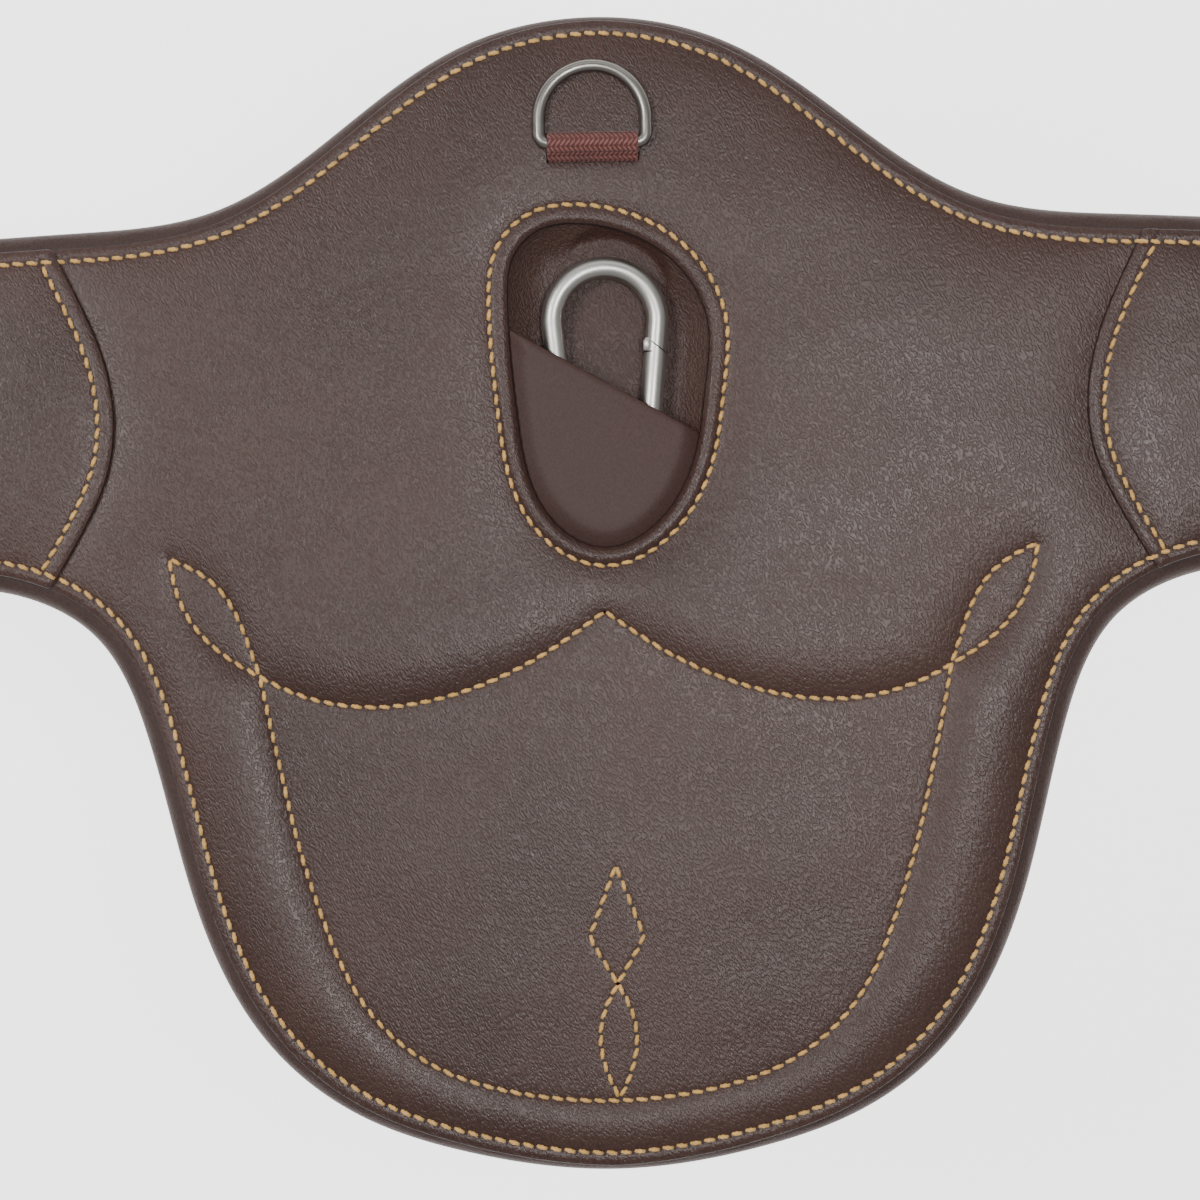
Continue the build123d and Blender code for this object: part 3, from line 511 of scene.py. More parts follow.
def add_node(tree, kind, sockets=None, **settings):
    """Adds a node. A socket's value is a constant, or the output socket that feeds it."""
    node = tree.nodes.new(kind)
    for key, value in settings.items():
        setattr(node, key, value)
    for key, value in (sockets or {}).items():
        if isinstance(value, bpy.types.NodeSocket):
            tree.links.new(value, node.inputs[key])
        else:
            node.inputs[key].default_value = value
    return node


def new_material(name):
    """An empty node material, its tree and its object coordinates in metres."""
    material = bpy.data.materials.new(name)
    material.use_nodes = True
    material.node_tree.nodes.clear()
    place = add_node(material.node_tree, "ShaderNodeTexCoord").outputs["Object"]
    return material, material.node_tree, place


def finish_material(material, tree, sockets):
    """Sends a principled shader with these sockets to the material's output."""
    shader = add_node(tree, "ShaderNodeBsdfPrincipled", sockets)
    add_node(tree, "ShaderNodeOutputMaterial", {"Surface": shader.outputs[0]})
    return material


def per_mm(size):
    """A texture's scale for a pattern whose period is a size in millimetres."""
    return 1 / (size * MM)


def noise(tree, place, size, detail, rough=0.5, output="Fac"):
    """A noise pattern whose period is a size in millimetres."""
    sockets = {"Vector": place, "Scale": per_mm(size), "Detail": detail, "Roughness": rough}
    return add_node(tree, "ShaderNodeTexNoise", sockets).outputs[output]


def spread(tree, value, low, high, least, most):
    """A pattern's values between low and high, spread from least to most."""
    sockets = {"Value": value, "From Min": low, "From Max": high, "To Min": least, "To Max": most}
    return add_node(tree, "ShaderNodeMapRange", sockets).outputs[0]


def shaded(tree, colour, value):
    """A colour made darker or lighter by a value."""
    node = add_node(tree, "ShaderNodeVectorMath", {0: colour, 3: value}, operation="SCALE")
    return node.outputs[0]


def bumped(tree, height, strength, depth):
    """The normal of a surface with a pattern's relief, its depth in millimetres."""
    sockets = {"Height": height, "Strength": strength, "Distance": depth * MM}
    return add_node(tree, "ShaderNodeBump", sockets).outputs[0]


def grained_leather(name, colour, shade, grain, depth, rough):
    """Finished cowhide with a pressed grain of short strokes, and a soft wax sheen.

    grain is a stroke's size in millimetres. The strokes are about two widths long, lean the way the
    hide was pressed, and wander where it stretched. Real grain is finer: it is drawn a little coarse
    so that it shows.
    """
    material, tree, place = new_material(name)
    wander = noise(tree, place, 7, 2.0, output="Color")
    bent = add_node(
        tree,
        "ShaderNodeVectorMath",
        {0: wander, 1: (1.2 * MM, 1.2 * MM, 1.2 * MM), 2: place},
        operation="MULTIPLY_ADD",
    )
    wide, long = 0.62 * grain * MM, 1.35 * grain * MM
    pressed = add_node(
        tree,
        "ShaderNodeMapping",
        {"Vector": bent.outputs[0], "Rotation": (0, 0, math.radians(30)), "Scale": (wide, long, wide)},
        vector_type="TEXTURE",
    )
    strokes = add_node(
        tree,
        "ShaderNodeTexNoise",
        {"Vector": pressed.outputs[0], "Scale": 1.0, "Detail": 1.0, "Roughness": 0.4},
    )
    pads = add_node(
        tree,
        "ShaderNodeMapRange",
        {"Value": strokes.outputs["Fac"], "From Min": 0.33, "From Max": 0.62},
        interpolation_type="SMOOTHSTEP",
    ).outputs[0]
    clouds = noise(tree, place, 70, 4.0, 0.55)
    tone = add_node(tree, "ShaderNodeValToRGB", {"Fac": clouds})
    for element, (spot, tint) in zip(tone.color_ramp.elements, ((0.32, shade), (0.68, colour))):
        element.position = spot
        element.color = linear(tint)
    # Colour scaled by the grain: darker between its raised strokes, lighter on them.
    tone_by_grain = spread(tree, pads, 0.0, 1.0, 0.8, 1.1)
    return finish_material(material, tree, {
        "Base Color": shaded(tree, tone.outputs["Color"], tone_by_grain),
        "Roughness": spread(tree, clouds, 0.3, 0.7, rough - 0.03, rough + 0.04),
        "Normal": bumped(tree, pads, 1.0, depth),
    })


def cut_edge(name, colour):
    """A cut and burnished leather edge: fibres pressed into fine lines along the edge, darkened."""
    material, tree, place = new_material(name)
    fibres = noise(tree, place, 0.8, 5.0)
    ramp = add_node(tree, "ShaderNodeValToRGB", {"Fac": fibres})
    ramp.color_ramp.elements[0].position = 0.35
    ramp.color_ramp.elements[0].color = linear(colour)
    ramp.color_ramp.elements[1].position = 0.75
    ramp.color_ramp.elements[1].color = [min(1, 1.7 * c) for c in linear(colour)[:3]] + [1]
    return finish_material(material, tree, {
        "Base Color": ramp.outputs["Color"],
        "Roughness": 0.5,
        "Normal": bumped(tree, fibres, 0.6, 0.15),
    })


def spun_thread(name, colour, rough, sheen):
    """Bonded or spun yarn: fine fibres that wander along it and catch a soft sheen."""
    material, tree, place = new_material(name)
    fibres = noise(tree, place, 0.6, 3.0)
    lots = noise(tree, place, 9, 2.0)
    both = add_node(tree, "ShaderNodeMath", {0: fibres, 1: 0.6, 2: lots}, operation="MULTIPLY_ADD")
    shade = spread(tree, both.outputs[0], 0.5, 1.1, 0.72, 1.12)
    return finish_material(material, tree, {
        "Base Color": shaded(tree, linear(colour)[:3], shade),
        "Roughness": rough,
        "Normal": bumped(tree, fibres, 0.5, 0.1),
        "Sheen Weight": sheen,
        "Sheen Roughness": 0.4,
    })


def steel(name, colour, rough, grit):
    """Stainless steel from a vibrating tumbler: bright, with a fine random haze of small dents."""
    material, tree, place = new_material(name)
    haze = noise(tree, place, grit, 4.0, 0.6)
    wear = noise(tree, place, 9, 3.0)
    return finish_material(material, tree, {
        "Base Color": shaded(tree, linear(colour)[:3], spread(tree, haze, 0.3, 0.7, 0.94, 1.03)),
        "Metallic": 1.0,
        "Roughness": spread(tree, wear, 0.3, 0.7, rough - 0.05, rough + 0.07),
        "Normal": bumped(tree, haze, 0.2, 0.05),
    })


FINISHES = {}


def finish_of(key):
    """Each finish, made once from the scene's colours."""
    looks = bpy.context.scene.girth_looks
    if key not in FINISHES:
        front, shade = looks.leather, looks.leather_shade
        recipes = {
            # Low strokes of grain with a low wax sheen.
            "front": (grained_leather, "brown_cowhide_pressed_grain", front, shade, 0.95, 0.08, 0.35),
            # The pocket is lined with the same hide, unwaxed, so it shines less.
            "pocket": (grained_leather, "brown_unwaxed_cowhide", front, shade, 0.95, 0.12, 0.46),
            # The lining is a softer hide of nearly the same colour, with a finer grain.
            "lining": (grained_leather, "brown_lining_calf", looks.lining, shade, 0.8, 0.06, 0.6),
            # The flap's leather is plated smooth, so its grain hardly shows.
            "flap": (
                grained_leather, "brown_smooth_plated_leather", looks.flap, shade, 0.7, 0.006, 0.56
            ),
            # The dark line of a cut side, and painted shade for needle holes and the gate's gap.
            "edge": (cut_edge, "burnished_cut_edge", looks.edge),
            "hole": (cut_edge, "needle_hole_shadow", "#260f06"),
            # Thick bonded nylon sewing thread, golden tan.
            "thread": (spun_thread, "golden_bonded_thread", looks.thread, 0.36, 0.1),
            # A soft tape, and a paler copy of it that paints highlight on the yarns its herringbone
            # raises highest.
            "tape": (spun_thread, "rust_woven_polyester", looks.tape, 0.7, 0.3),
            "tape_painted_highlight": (spun_thread, "pale_rust_woven_polyester", "#96615a", 0.6, 0.3),
            "elastic": (spun_thread, "brown_ribbed_elastic", looks.elastic, 0.75, 0.3),
            # Three brightnesses of the same tumbled steel: a satin hook, a ring made greyer as painted
            # shade, bright buckles.
            "hook": (steel, "tumbled_stainless_wire", "#cfccc6", 0.36, 0.45),
            "ring": (steel, "tumbled_stainless_ring", "#a09c96", 0.32, 0.5),
            "buckle": (steel, "tumbled_stainless_buckle", "#c6c3bd", 0.25, 0.6),
            "sheet": (cut_edge, "moulded_insert_sheet", "#2b2724"),
        }
        make, *settings = recipes[key]
        FINISHES[key] = make(*settings)
    return FINISHES[key]


# ---------------------------------------------------------------- front leather, lining and covers
SHEETS = {}  # each sheet's points, for the stitches that lie on it


def ripple(points, high, long):
    """A hide's slow unevenness."""
    x, y = points[:, 0] / long, points[:, 1] / long
    return high * (np.sin(2.1 * x + 1.3 * y) + np.sin(1.1 * x - 2.7 * y + 1) + np.sin(3.3 * y + 2)) / 3


def groove(gap, deep, wide):
    """A dent along a seam, from the distance to it."""
    return deep * np.exp(-((gap / wide) ** 2))


def beside_rows(line, closed, gaps, step):
    """The line and lines beside it, as rows for a sheet's points."""
    base = even_loop(line, step) if closed else even(line, step)
    return [beside(base, gap, closed) for gap in gaps]


def front_heights(points, faces, looks):
    """The front leather's height everywhere: padded fields, seams, the pocket's lip and the edge."""
    rim = distance(points, (RIM_SEAM, True))
    edge = distance(points, (LEATHER_EDGE, True))
    pocket = distance(points, (POCKET_SEAM, True))
    mouth = distance(points, (MOUTH_LINE, True))
    guard = distance(points, (SIDE_SEAM, False), *open_lines(BELLY_SEAMS))
    motif = distance(points, *open_lines(DIAMOND_SEAMS + DROP_SEAMS))
    within_rim = inside(points, RIM_SEAM)
    round_pocket = inside(points, POCKET_SEAM)
    covered = np.abs(points[:, 0]) > cover_edge_x(points[:, 1]) - 0.4
    corner = on_guard([GUARD_CORNER])[0]
    toe_side = inside(points, SIDE_SEAM)
    belly = np.vstack([BELLY_SEAMS[1], BELLY_SEAMS[0][::-1]])
    below = points[:, 1] < np.interp(
        points[:, 0], *np.array(sorted(map(tuple, belly))).T
    )
    flat = toe_side & below & (np.abs(points[:, 0]) < corner[0] + 2)
    leaf = np.zeros(len(points), bool)
    for side in SIDES.values():
        loop = spline(on_guard([LEAF_TIP, *LEAF_LOWER, GUARD_CORNER], side))
        back = spline(on_guard([GUARD_CORNER, *LEAF_UPPER, LEAF_TIP], side))
        leaf |= inside(points, np.vstack([loop, back]))
    low_side = smooth_step(-points[:, 1], -10, 30)
    plateau = looks.field_rise + (looks.rim_rise - looks.field_rise) * low_side
    plateau = np.where(flat, looks.flat_rise, plateau)
    plateau = np.where(leaf, LEAF_RISE, plateau)
    held = ~within_rim | round_pocket | covered | (guard < 0.2)
    rise = pad_up(points, faces, held, plateau, looks.foam_reach)
    z = FRONT_TOP - FRONT_SUNK + rise + ripple(points, 0.12, 22.0) * (rise > 0.3)
    z -= groove(rim, 0.35, 0.9) + groove(guard, 0.4, 0.9) + groove(motif, 0.3, 0.8)
    z -= groove(pocket, 0.4, 0.9) * ~covered
    lip = (mouth < LIP) & round_pocket
    puff = 0.35 + 0.85 * smooth_step(-points[:, 1], -85, -45)
    z = np.where(lip, z + puff * np.sin(np.pi * np.clip(mouth / LIP, 0, 1)) ** 0.7, z)
    z = np.where(round_pocket, z - 0.8 * (1 - smooth_step(mouth, -0.4, 1.2)), z)
    z = np.where(covered, np.minimum(z, FRONT_TOP - FRONT_SUNK), z)
    z = np.where(~within_rim, z - 0.55 * (1 - smooth_step(edge, 0, 1.4)), z)
    return z


class GIRTH_OT_front_leather(bpy.types.Operator):
    """Builds the padded front leather, with its seams' grooves, the pocket's lip and its cut edge"""

    bl_idname = "girth.front_leather"
    bl_label = "Front leather"

    def execute(self, context):
        looks = context.scene.girth_looks
        room, slit_wide = 0.3, 2.9
        slit = np.array([
            (TAPE_LOW[0] - room, TAPE_LOW[1] - room),
            (TAPE_HIGH[0] + room, TAPE_LOW[1] - room),
            (TAPE_HIGH[0] + room, TAPE_LOW[1] + slit_wide),
            (TAPE_LOW[0] - room, TAPE_LOW[1] + slit_wide),
        ])
        slit = even_loop(slit, 0.8)
        mouth = even_loop(MOUTH_LINE, 0.9)
        edge = LEATHER_EDGE
        rows = beside_rows(edge, True, EDGE_ROWS, 1.2)
        rows += beside_rows(RIM_SEAM, True, SEAM_ROWS, 1.1)
        rows += beside_rows(mouth, True, (-0.4, -0.9, -1.5, -2.3, -3.3, -4.3), 1.0)
        rows += beside_rows(POCKET_SEAM, True, SEAM_ROWS, 1.1)
        for line in [SIDE_SEAM, *BELLY_SEAMS]:
            rows += beside_rows(line, False, SEAM_ROWS, 1.1)
        for line in DIAMOND_SEAMS + DROP_SEAMS:
            rows += beside_rows(line, False, (0, 0.6, -0.6, 1.2, -1.2), 1.1)
        points, faces = flat_sheet([edge, mouth, slit], rows, 2.3)
        z = front_heights(points, faces, looks)
        verts = np.column_stack([points, z])
        SHEETS["front"] = verts
        every = faces.tolist()
        cut_from = len(every)
        for loop, steps, outward in (
            (edge, ((0.18, 0.3), (0.25, 0.9), (0.15, 1.6), (-0.3, 2.0)), 1),
            (mouth, ((0.25, 0.3), (0.4, 0.8), (0.2, 1.5)), -1),
            (slit, ((0.1, 0.3), (0.1, 1.6)), -1),
        ):
            verts, sides = hang_edge(verts, loop, steps, outward)
            every += sides
        made = in_thirds(
            "front_leather", verts, every, finish_of("front"), finish_of("edge"), cut_from,
            "front_leather",
        )
        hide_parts("impact_insert", "foam_center", "load_strap_center")
        for part in SIDES:
            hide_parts(f"foam_{part}", f"load_strap_{part}")
        return {"FINISHED"}


class GIRTH_OT_lining(bpy.types.Operator):
    """Builds the lining: its rolled edge all round, and the quilted face that lies on the horse"""

    bl_idname = "girth.lining"
    bl_label = "Lining"

    def execute(self, context):
        rolled = even_loop(OUTLINE, 1.5)
        reach, half = 5.6, FOAM_TOP / 2
        # The roll's section, each point as how far in it is and how high: under, round and over.
        profile = [(14.0, 0.7), (10.0, 0.5)]
        for t in np.linspace(0.1, math.pi / 2, 8):
            profile.append((reach * (1 - math.sin(t)), half - half * math.sin(math.pi / 2 - t) ** 0.8))
        for t in np.linspace(0.15, math.pi / 2, 9):
            profile.append((reach * (1 - math.cos(t)), half + (half + 0.35) * math.sin(t) ** 0.8))
        profile += [(reach + 1.5, FOAM_TOP + 0.2), (reach + 3, FOAM_TOP - 0.3), (12.0, FOAM_TOP - 0.4)]
        count = len(rolled)
        rings = []
        for inset, z in profile:
            ring = beside(rolled, inset, True)
            wave = 0.12 * np.sin(np.arange(count) * 0.37) * (2 < inset < 6)
            rings.append(np.column_stack([ring, np.full(count, z) + wave]))
        verts = np.vstack(rings)
        faces = []
        at = np.arange(count)
        for k in range(len(profile) - 1):
            low, high = k * count + at, (k + 1) * count + at
            quads = np.column_stack([low, np.roll(low, -1), np.roll(high, -1), high])
            faces += quads.tolist()
        back_edge = beside(rolled, profile[0][0] - 0.5, True)
        seams = beside_rows(even(SIDE_SEAM, 2.2), False, (0, 1.2, -1.2), 2.2)
        points, back = flat_sheet([even_loop(back_edge, 2.2)], seams, 4.0)
        held = distance(points, (back_edge, True)) < 0.5
        held |= distance(points, (SIDE_SEAM, False)) < 0.4
        swell = pad_up(points, back, held, np.full(len(points), 0.6), 6.0)
        start = len(verts)
        verts = np.vstack([verts, np.column_stack([points, 0.7 - swell])])
        faces += (back[:, ::-1] + start).tolist()
        made = in_thirds(
            "lining", verts, faces, finish_of("lining"), stands_for="lining"
        )
        return {"FINISHED"}


class GIRTH_OT_arm_covers(bpy.types.Operator):
    """Builds the leather covers that lie on the arms"""

    bl_idname = "girth.arm_covers"
    bl_label = "Arm covers"

    def execute(self, context):
        edge = cover_line(1)
        outboard = LEATHER_EDGE[:, 0] > cover_edge_x(LEATHER_EDGE[:, 1])
        turn = np.flatnonzero(~outboard)
        run = np.vstack([LEATHER_EDGE[turn[-1] + 1 :], LEATHER_EDGE[: turn[0]]])
        inner = edge[(edge[:, 1] < run[-1][1] - 0.5) & (edge[:, 1] > run[0][1] + 0.5)][::-1]
        loop = even_loop(np.vstack([run, inner]), 1.1)
        seam = cover_line(1, COVER_SEAM_IN)
        rows = beside_rows(loop, True, EDGE_ROWS, 1.2)
        rows += beside_rows(RIM_SEAM, True, SEAM_ROWS, 1.1)
        rows += beside_rows(seam, False, SEAM_ROWS, 1.1)
        points, faces = flat_sheet([loop], rows, 2.6)
        rim = distance(points, (RIM_SEAM, True))
        across = distance(points, (seam, False))
        rolled = distance(points, (loop, True))
        boxes = distance(points, *open_lines(box_seams(1)))
        held = ~inside(points, RIM_SEAM) | (across < 0.2) | (boxes < 0.4)
        held |= points[:, 0] < np.interp(points[:, 1], seam[:, 1], seam[:, 0])
        rise = pad_up(points, faces, held, np.full(len(points), 1.7), 8.0)
        z = COVER_TOP - 0.1 + rise - groove(rim, 0.35, 0.9) - groove(across, 0.4, 0.9)
        z -= groove(boxes, 0.3, 0.8) + 0.6 * (1 - smooth_step(rolled, 0, 1.5))
        z += ripple(points, 0.1, 18.0)
        verts = np.column_stack([points, z])
        every = faces.tolist()
        cut_from = len(every)
        SHEETS["cover"] = verts
        steps = ((0.18, 0.3), (0.25, 0.8), (0.2, 1.3), (0.0, 1.75))
        verts, sides = hang_edge(verts, loop, steps)
        every += sides
        normals = vertex_normals(verts, every)
        for part, side in SIDES.items():
            flip = np.array([side, 1, 1])
            own = every if side > 0 else [f[::-1] for f in every]
            piece = make_piece(
                f"arm_cover_{part}_piece", verts * flip, own, finish_of("front"), finish_of("edge"),
                set(range(cut_from, len(every))), normals * flip,
            )
            settle(piece, part)
            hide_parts(f"arm_cover_{part}")
        return {"FINISHED"}


# ---------------------------------------------------------------- pocket
def half_below(points):
    """Which points lie below the flap's free edge."""
    way = np.array([math.cos(FLAP_ANGLE), math.sin(FLAP_ANGLE)])
    off = points - np.array([FLAP_POINT[0], BAND_Y + FLAP_POINT[1]])
    return off[:, 1] * way[0] - off[:, 0] * way[1] < 0


class GIRTH_OT_pocket(bpy.types.Operator):
    """Builds the pocket: its sunk leather floor and wall, and the flap that half covers the hook"""

    bl_idname = "girth.pocket"
    bl_label = "Pocket"

    def execute(self, context):
        looks = context.scene.girth_looks
        outer = beside(MOUTH_LINE, -0.9, True)
        outer = even_loop(outer, 1.0)
        rows = beside_rows(outer, True, (0.5, 1.0, 1.6, 2.3, 3.1, 4.0, 5.0, 6.2, 7.6, 9.0), 1.1)
        points, faces = flat_sheet([outer], rows, 2.4)
        gap = distance(points, (outer, True))
        wall_reach, wall_curve = 12, 1.45
        wall = np.clip(1 - gap / wall_reach, 0, 1) ** wall_curve
        z = POCKET_FLOOR + 0.1 + (FOAM_TOP - 0.1 - POCKET_FLOOR) * wall
        # The floor stays below the hook's wire, and below where the wire is when the hook slides.
        hook_low, hook_high = box_mm("hook_body")
        hook_middle = (hook_low[0] + hook_high[0]) / 2
        hook_radius = (hook_high[0] - hook_low[0]) / 2
        up = np.maximum(0, points[:, 1] - (hook_high[1] - hook_radius) - HOOK_TRAVEL)
        clear = np.hypot(points[:, 0] - hook_middle, up) - hook_radius
        under_wire, beside_wire, steep = 0.9, 0.3, 1.5
        z = np.minimum(z, POCKET_FLOOR + under_wire + steep * np.maximum(0, clear - beside_wire))
        z += ripple(points, 0.2, 9.0) * smooth_step(gap, 4, 9)
        verts, every = np.column_stack([points, z]), faces.tolist()
        recess = make_piece(
            "pocket_recess", verts, every, finish_of("pocket"), normals=vertex_normals(verts, every)
        )
        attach(recess, "girth")
        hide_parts("pocket_liner")

        border = outer[half_below(outer)]
        gaps = np.linalg.norm(np.roll(border, -1, axis=0) - border, axis=1)
        border = np.roll(border, -int(np.argmax(gaps)) - 1, axis=0)
        loop = even_loop(border, 1.0)
        free_edge = even(np.vstack([border[-1:], border[:1]]), 1.0)
        rows = beside_rows(loop, True, (0.4, 0.9, 1.5, 2.2, 3.0, 4.0, 5.2, 6.6), 1.1)
        points, faces = flat_sheet([loop], rows, 2.2)
        gap = distance(points, (outer, True))
        rise = smooth_step(gap, 0.3, 7.5) ** 0.75
        sag = 1 - 0.1 * np.exp(-(((points[:, 0] - hook_middle) / 8) ** 2)) * rise
        z = FOAM_TOP + 0.15 + looks.flap_rise * rise * sag
        at_edge = distance(points, (free_edge, False))
        z -= 0.25 * (1 - smooth_step(at_edge, 0, 0.9))
        z += 0.35 * np.exp(-((at_edge - 2.5) / 2.0) ** 2) * rise
        flap_thick = 1.0
        top = np.column_stack([points, z])
        under = np.column_stack([points, z - flap_thick])
        count = len(points)
        tree = plan_tree(points)
        ring = [tree.find((x, y, 0))[1] for x, y in loop]
        walls = [
            (ring[i], ring[i] + count, ring[(i + 1) % len(ring)] + count, ring[(i + 1) % len(ring)])
            for i in range(len(ring))
        ]
        every = faces.tolist() + (faces[:, ::-1] + count).tolist() + walls
        flap = make_piece(
            "pocket_flap_piece", np.vstack([top, under]), every, finish_of("flap"), finish_of("edge"),
            set(range(2 * len(faces), len(every))),
        )
        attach(flap, "girth")
        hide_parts("pocket_flap")
        return {"FINISHED"}


# ---------------------------------------------------------------- stitching
LEVEL_REACH = 1.6  # how far to each side a stitch takes its slope from, mm
PLY_TWIST = 3.4  # length of one turn of the thread's plies, mm
# A needle hole's painted shade, a dark disc: half its length and half its width in mm, across the
# seam, just above the leather.
HOLE_SHADE_SIZE, HOLE_SHADE_TURN, HOLE_SHADE_LIFT, HOLE_SHADE_SIDES = (1.1, 0.48), math.radians(100), 0.1, 10


def box_seams(side):
    """The square and its diagonals that sew each elastic strap's root into an arm."""
    lines = []
    for row in ("front", "rear"):
        low, high = box_mm(f"seam_strap_{'right' if side > 0 else 'left'}_{row}")
        (x0, y0), (x1, y1) = low[:2] + 0.5, high[:2] - 0.5
        square = np.array([(x0, y0), (x1, y0), (x1, y1), (x0, y1), (x0, y0)])
        lines.append(even(square, 1.0))
        lines.append(even(np.array([(x0, y0), (x1, y1)]), 1.0))
        lines.append(even(np.array([(x0, y1), (x1, y0)]), 1.0))
    return lines


def stitch_shape(looks):
    """One stitch along X: two plies twisted together, fat in the middle, its ends pulled down."""
    along, around = 10, 9
    rings = []
    for t in np.linspace(-1, 1, along):
        thick = looks.thread_size / 2 * (1 - 0.42 * t**4)
        turn = t * looks.stitch_long / 2 * 2 * math.pi / PLY_TWIST
        lift = 0.30 - 0.62 * abs(t) ** 3.2
        for a in np.linspace(0, 2 * math.pi, around, endpoint=False):
            r = thick * (1 + 0.16 * math.cos(2 * (a - turn)))
            wide, high = 1.08 * r * math.cos(a), 0.88 * r * math.sin(a)
            rings.append((t * looks.stitch_long / 2, wide, lift + high))
    faces = [
        (k * around + i, k * around + (i + 1) % around, (k + 1) * around + (i + 1) % around,
         (k + 1) * around + i)
        for k in range(along - 1)
        for i in range(around)
    ]
    return np.array(rings), faces


class Surface:
    """Heights of the leather under a stitch, from the nearest points of its sheets."""

    def __init__(self, *sheets):
        self.points = np.vstack(sheets)
        self.tree = plan_tree(self.points)

    def height(self, x, y):
        """The height at a place, averaged over the nearest points."""
        near = self.tree.find_n((x, y, 0), 3)
        weights = [1 / (d + 0.05) for _, _, d in near]
        return sum(w * self.points[i][2] for w, (_, i, _) in zip(weights, near)) / sum(weights)


def stitch_piece(name, runs, surface, looks, chooser=None):
    """A seam as its separate stitches, with dark discs of painted shade at the needle holes between
    them.
    """
    shape, quads = stitch_shape(looks)
    dice = random.Random(name)
    verts, faces, holes = [], [], set()
    for line, closed in runs:
        path = np.vstack([line, line[:1]]) if closed else line
        run = np.concatenate([[0], np.cumsum(np.linalg.norm(np.diff(path, axis=0), axis=1))])
        count = max(1, round(run[-1] / looks.stitch_pitch))
        pitch = run[-1] / count
        for k in range(count):
            at = (k + 0.5) * pitch
            ends = [
                np.array([np.interp(at + d, run, path[:, c]) for c in (0, 1)])
                for d in (-LEVEL_REACH, LEVEL_REACH)
            ]
            middle = (ends[0] + ends[1]) / 2
            if chooser is not None and not chooser(middle):
                continue
            way = (ends[1] - ends[0]) / max(np.linalg.norm(ends[1] - ends[0]), 1e-6)
            slant = math.radians(looks.stitch_slant + dice.uniform(-3, 3))
            way = np.array([
                way[0] * math.cos(slant) - way[1] * math.sin(slant),
                way[0] * math.sin(slant) + way[1] * math.cos(slant),
            ])
            rises = [surface.height(*e) for e in ends]
            slope = (rises[1] - rises[0]) / (2 * LEVEL_REACH)
            base = surface.height(*middle)
            x_axis = np.array([way[0], way[1], slope])
            y_axis = np.array([-way[1], way[0], 0])
            z_axis = np.array([0, 0, 1.0])
            size = 1 + dice.uniform(-0.05, 0.05)
            place = np.outer(shape[:, 0] * size, x_axis) + np.outer(shape[:, 1], y_axis)
            place = place + np.outer(shape[:, 2], z_axis) + np.array([*middle, base])
            start = len(verts)
            verts += place.tolist()
            faces += [tuple(start + i for i in q) for q in quads]
            # A dark disc of painted shade where the needle hole between two stitches is.
            gap = at + pitch / 2
            spot = [np.interp(gap, run, path[:, c]) for c in (0, 1)]
            level = surface.height(*spot) + HOLE_SHADE_LIFT
            start = len(verts)
            turn = math.atan2(way[1], way[0]) + HOLE_SHADE_TURN
            corners = range(HOLE_SHADE_SIDES)
            for i in corners:
                a = 2 * math.pi * i / HOLE_SHADE_SIDES
                u, v = HOLE_SHADE_SIZE[0] * math.cos(a), HOLE_SHADE_SIZE[1] * math.sin(a)
                verts.append((
                    spot[0] + u * math.cos(turn) - v * math.sin(turn),
                    spot[1] + u * math.sin(turn) + v * math.cos(turn),
                    level,
                ))
            holes.add(len(faces))
            faces.append(tuple(start + i for i in corners))
    verts = np.array(verts)
    return make_piece(name, verts, faces, finish_of("thread"), finish_of("hole"), holes)


class GIRTH_OT_stitching(bpy.types.Operator):
    """Sews every seam with separate twisted stitches"""

    bl_idname = "girth.stitching"
    bl_label = "Stitching"

    def execute(self, context):
        looks = context.scene.girth_looks
        front = Surface(SHEETS["front"])
        cover = SHEETS["cover"]
        centre_side = front.points[np.abs(front.points[:, 0]) < cover_edge_x(front.points[:, 1])]
        covers = Surface(cover, cover * np.array([-1, 1, 1]))
        both = Surface(centre_side, covers.points)
        rim = [(RIM_SEAM, True)]
        on_middle = {
            "seam_chest_edge": (rim, lambda p: abs(p[0]) <= SPLIT_X and p[1] > BAND_Y),
            "seam_belly_edge": (rim, lambda p: abs(p[0]) <= SPLIT_X and p[1] <= BAND_Y),
            "seam_pocket": ([(POCKET_SEAM, True)], None),
            "seam_guard": (open_lines([SIDE_SEAM, *BELLY_SEAMS]), None),
            "seam_motif": (open_lines(DIAMOND_SEAMS + DROP_SEAMS), None),
        }
        for node, (runs, chooser) in on_middle.items():
            piece = stitch_piece(f"{node}_stitches", runs, front, looks, chooser)
            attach(piece, "girth")
            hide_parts(node)
        for part, side in SIDES.items():
            seam = cover_line(side, COVER_SEAM_IN)
            seam = seam[inside(seam, RIM_SEAM)]
            pieces = {
                f"seam_arm_edge_{part}": (rim, lambda p: side * p[0] > SPLIT_X, both),
                f"seam_cover_{part}": ([(seam, False)], None, covers),
            }
            for i, row in enumerate(("front", "rear")):
                boxes = open_lines(box_seams(side)[3 * i : 3 * i + 3])
                pieces[f"seam_strap_{part}_{row}"] = (boxes, None, covers)
            for node, (runs, chooser, surface) in pieces.items():
                piece = stitch_piece(f"{node}_stitches", runs, surface, looks, chooser)
                settle(piece, part)
                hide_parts(node)
        return {"FINISHED"}


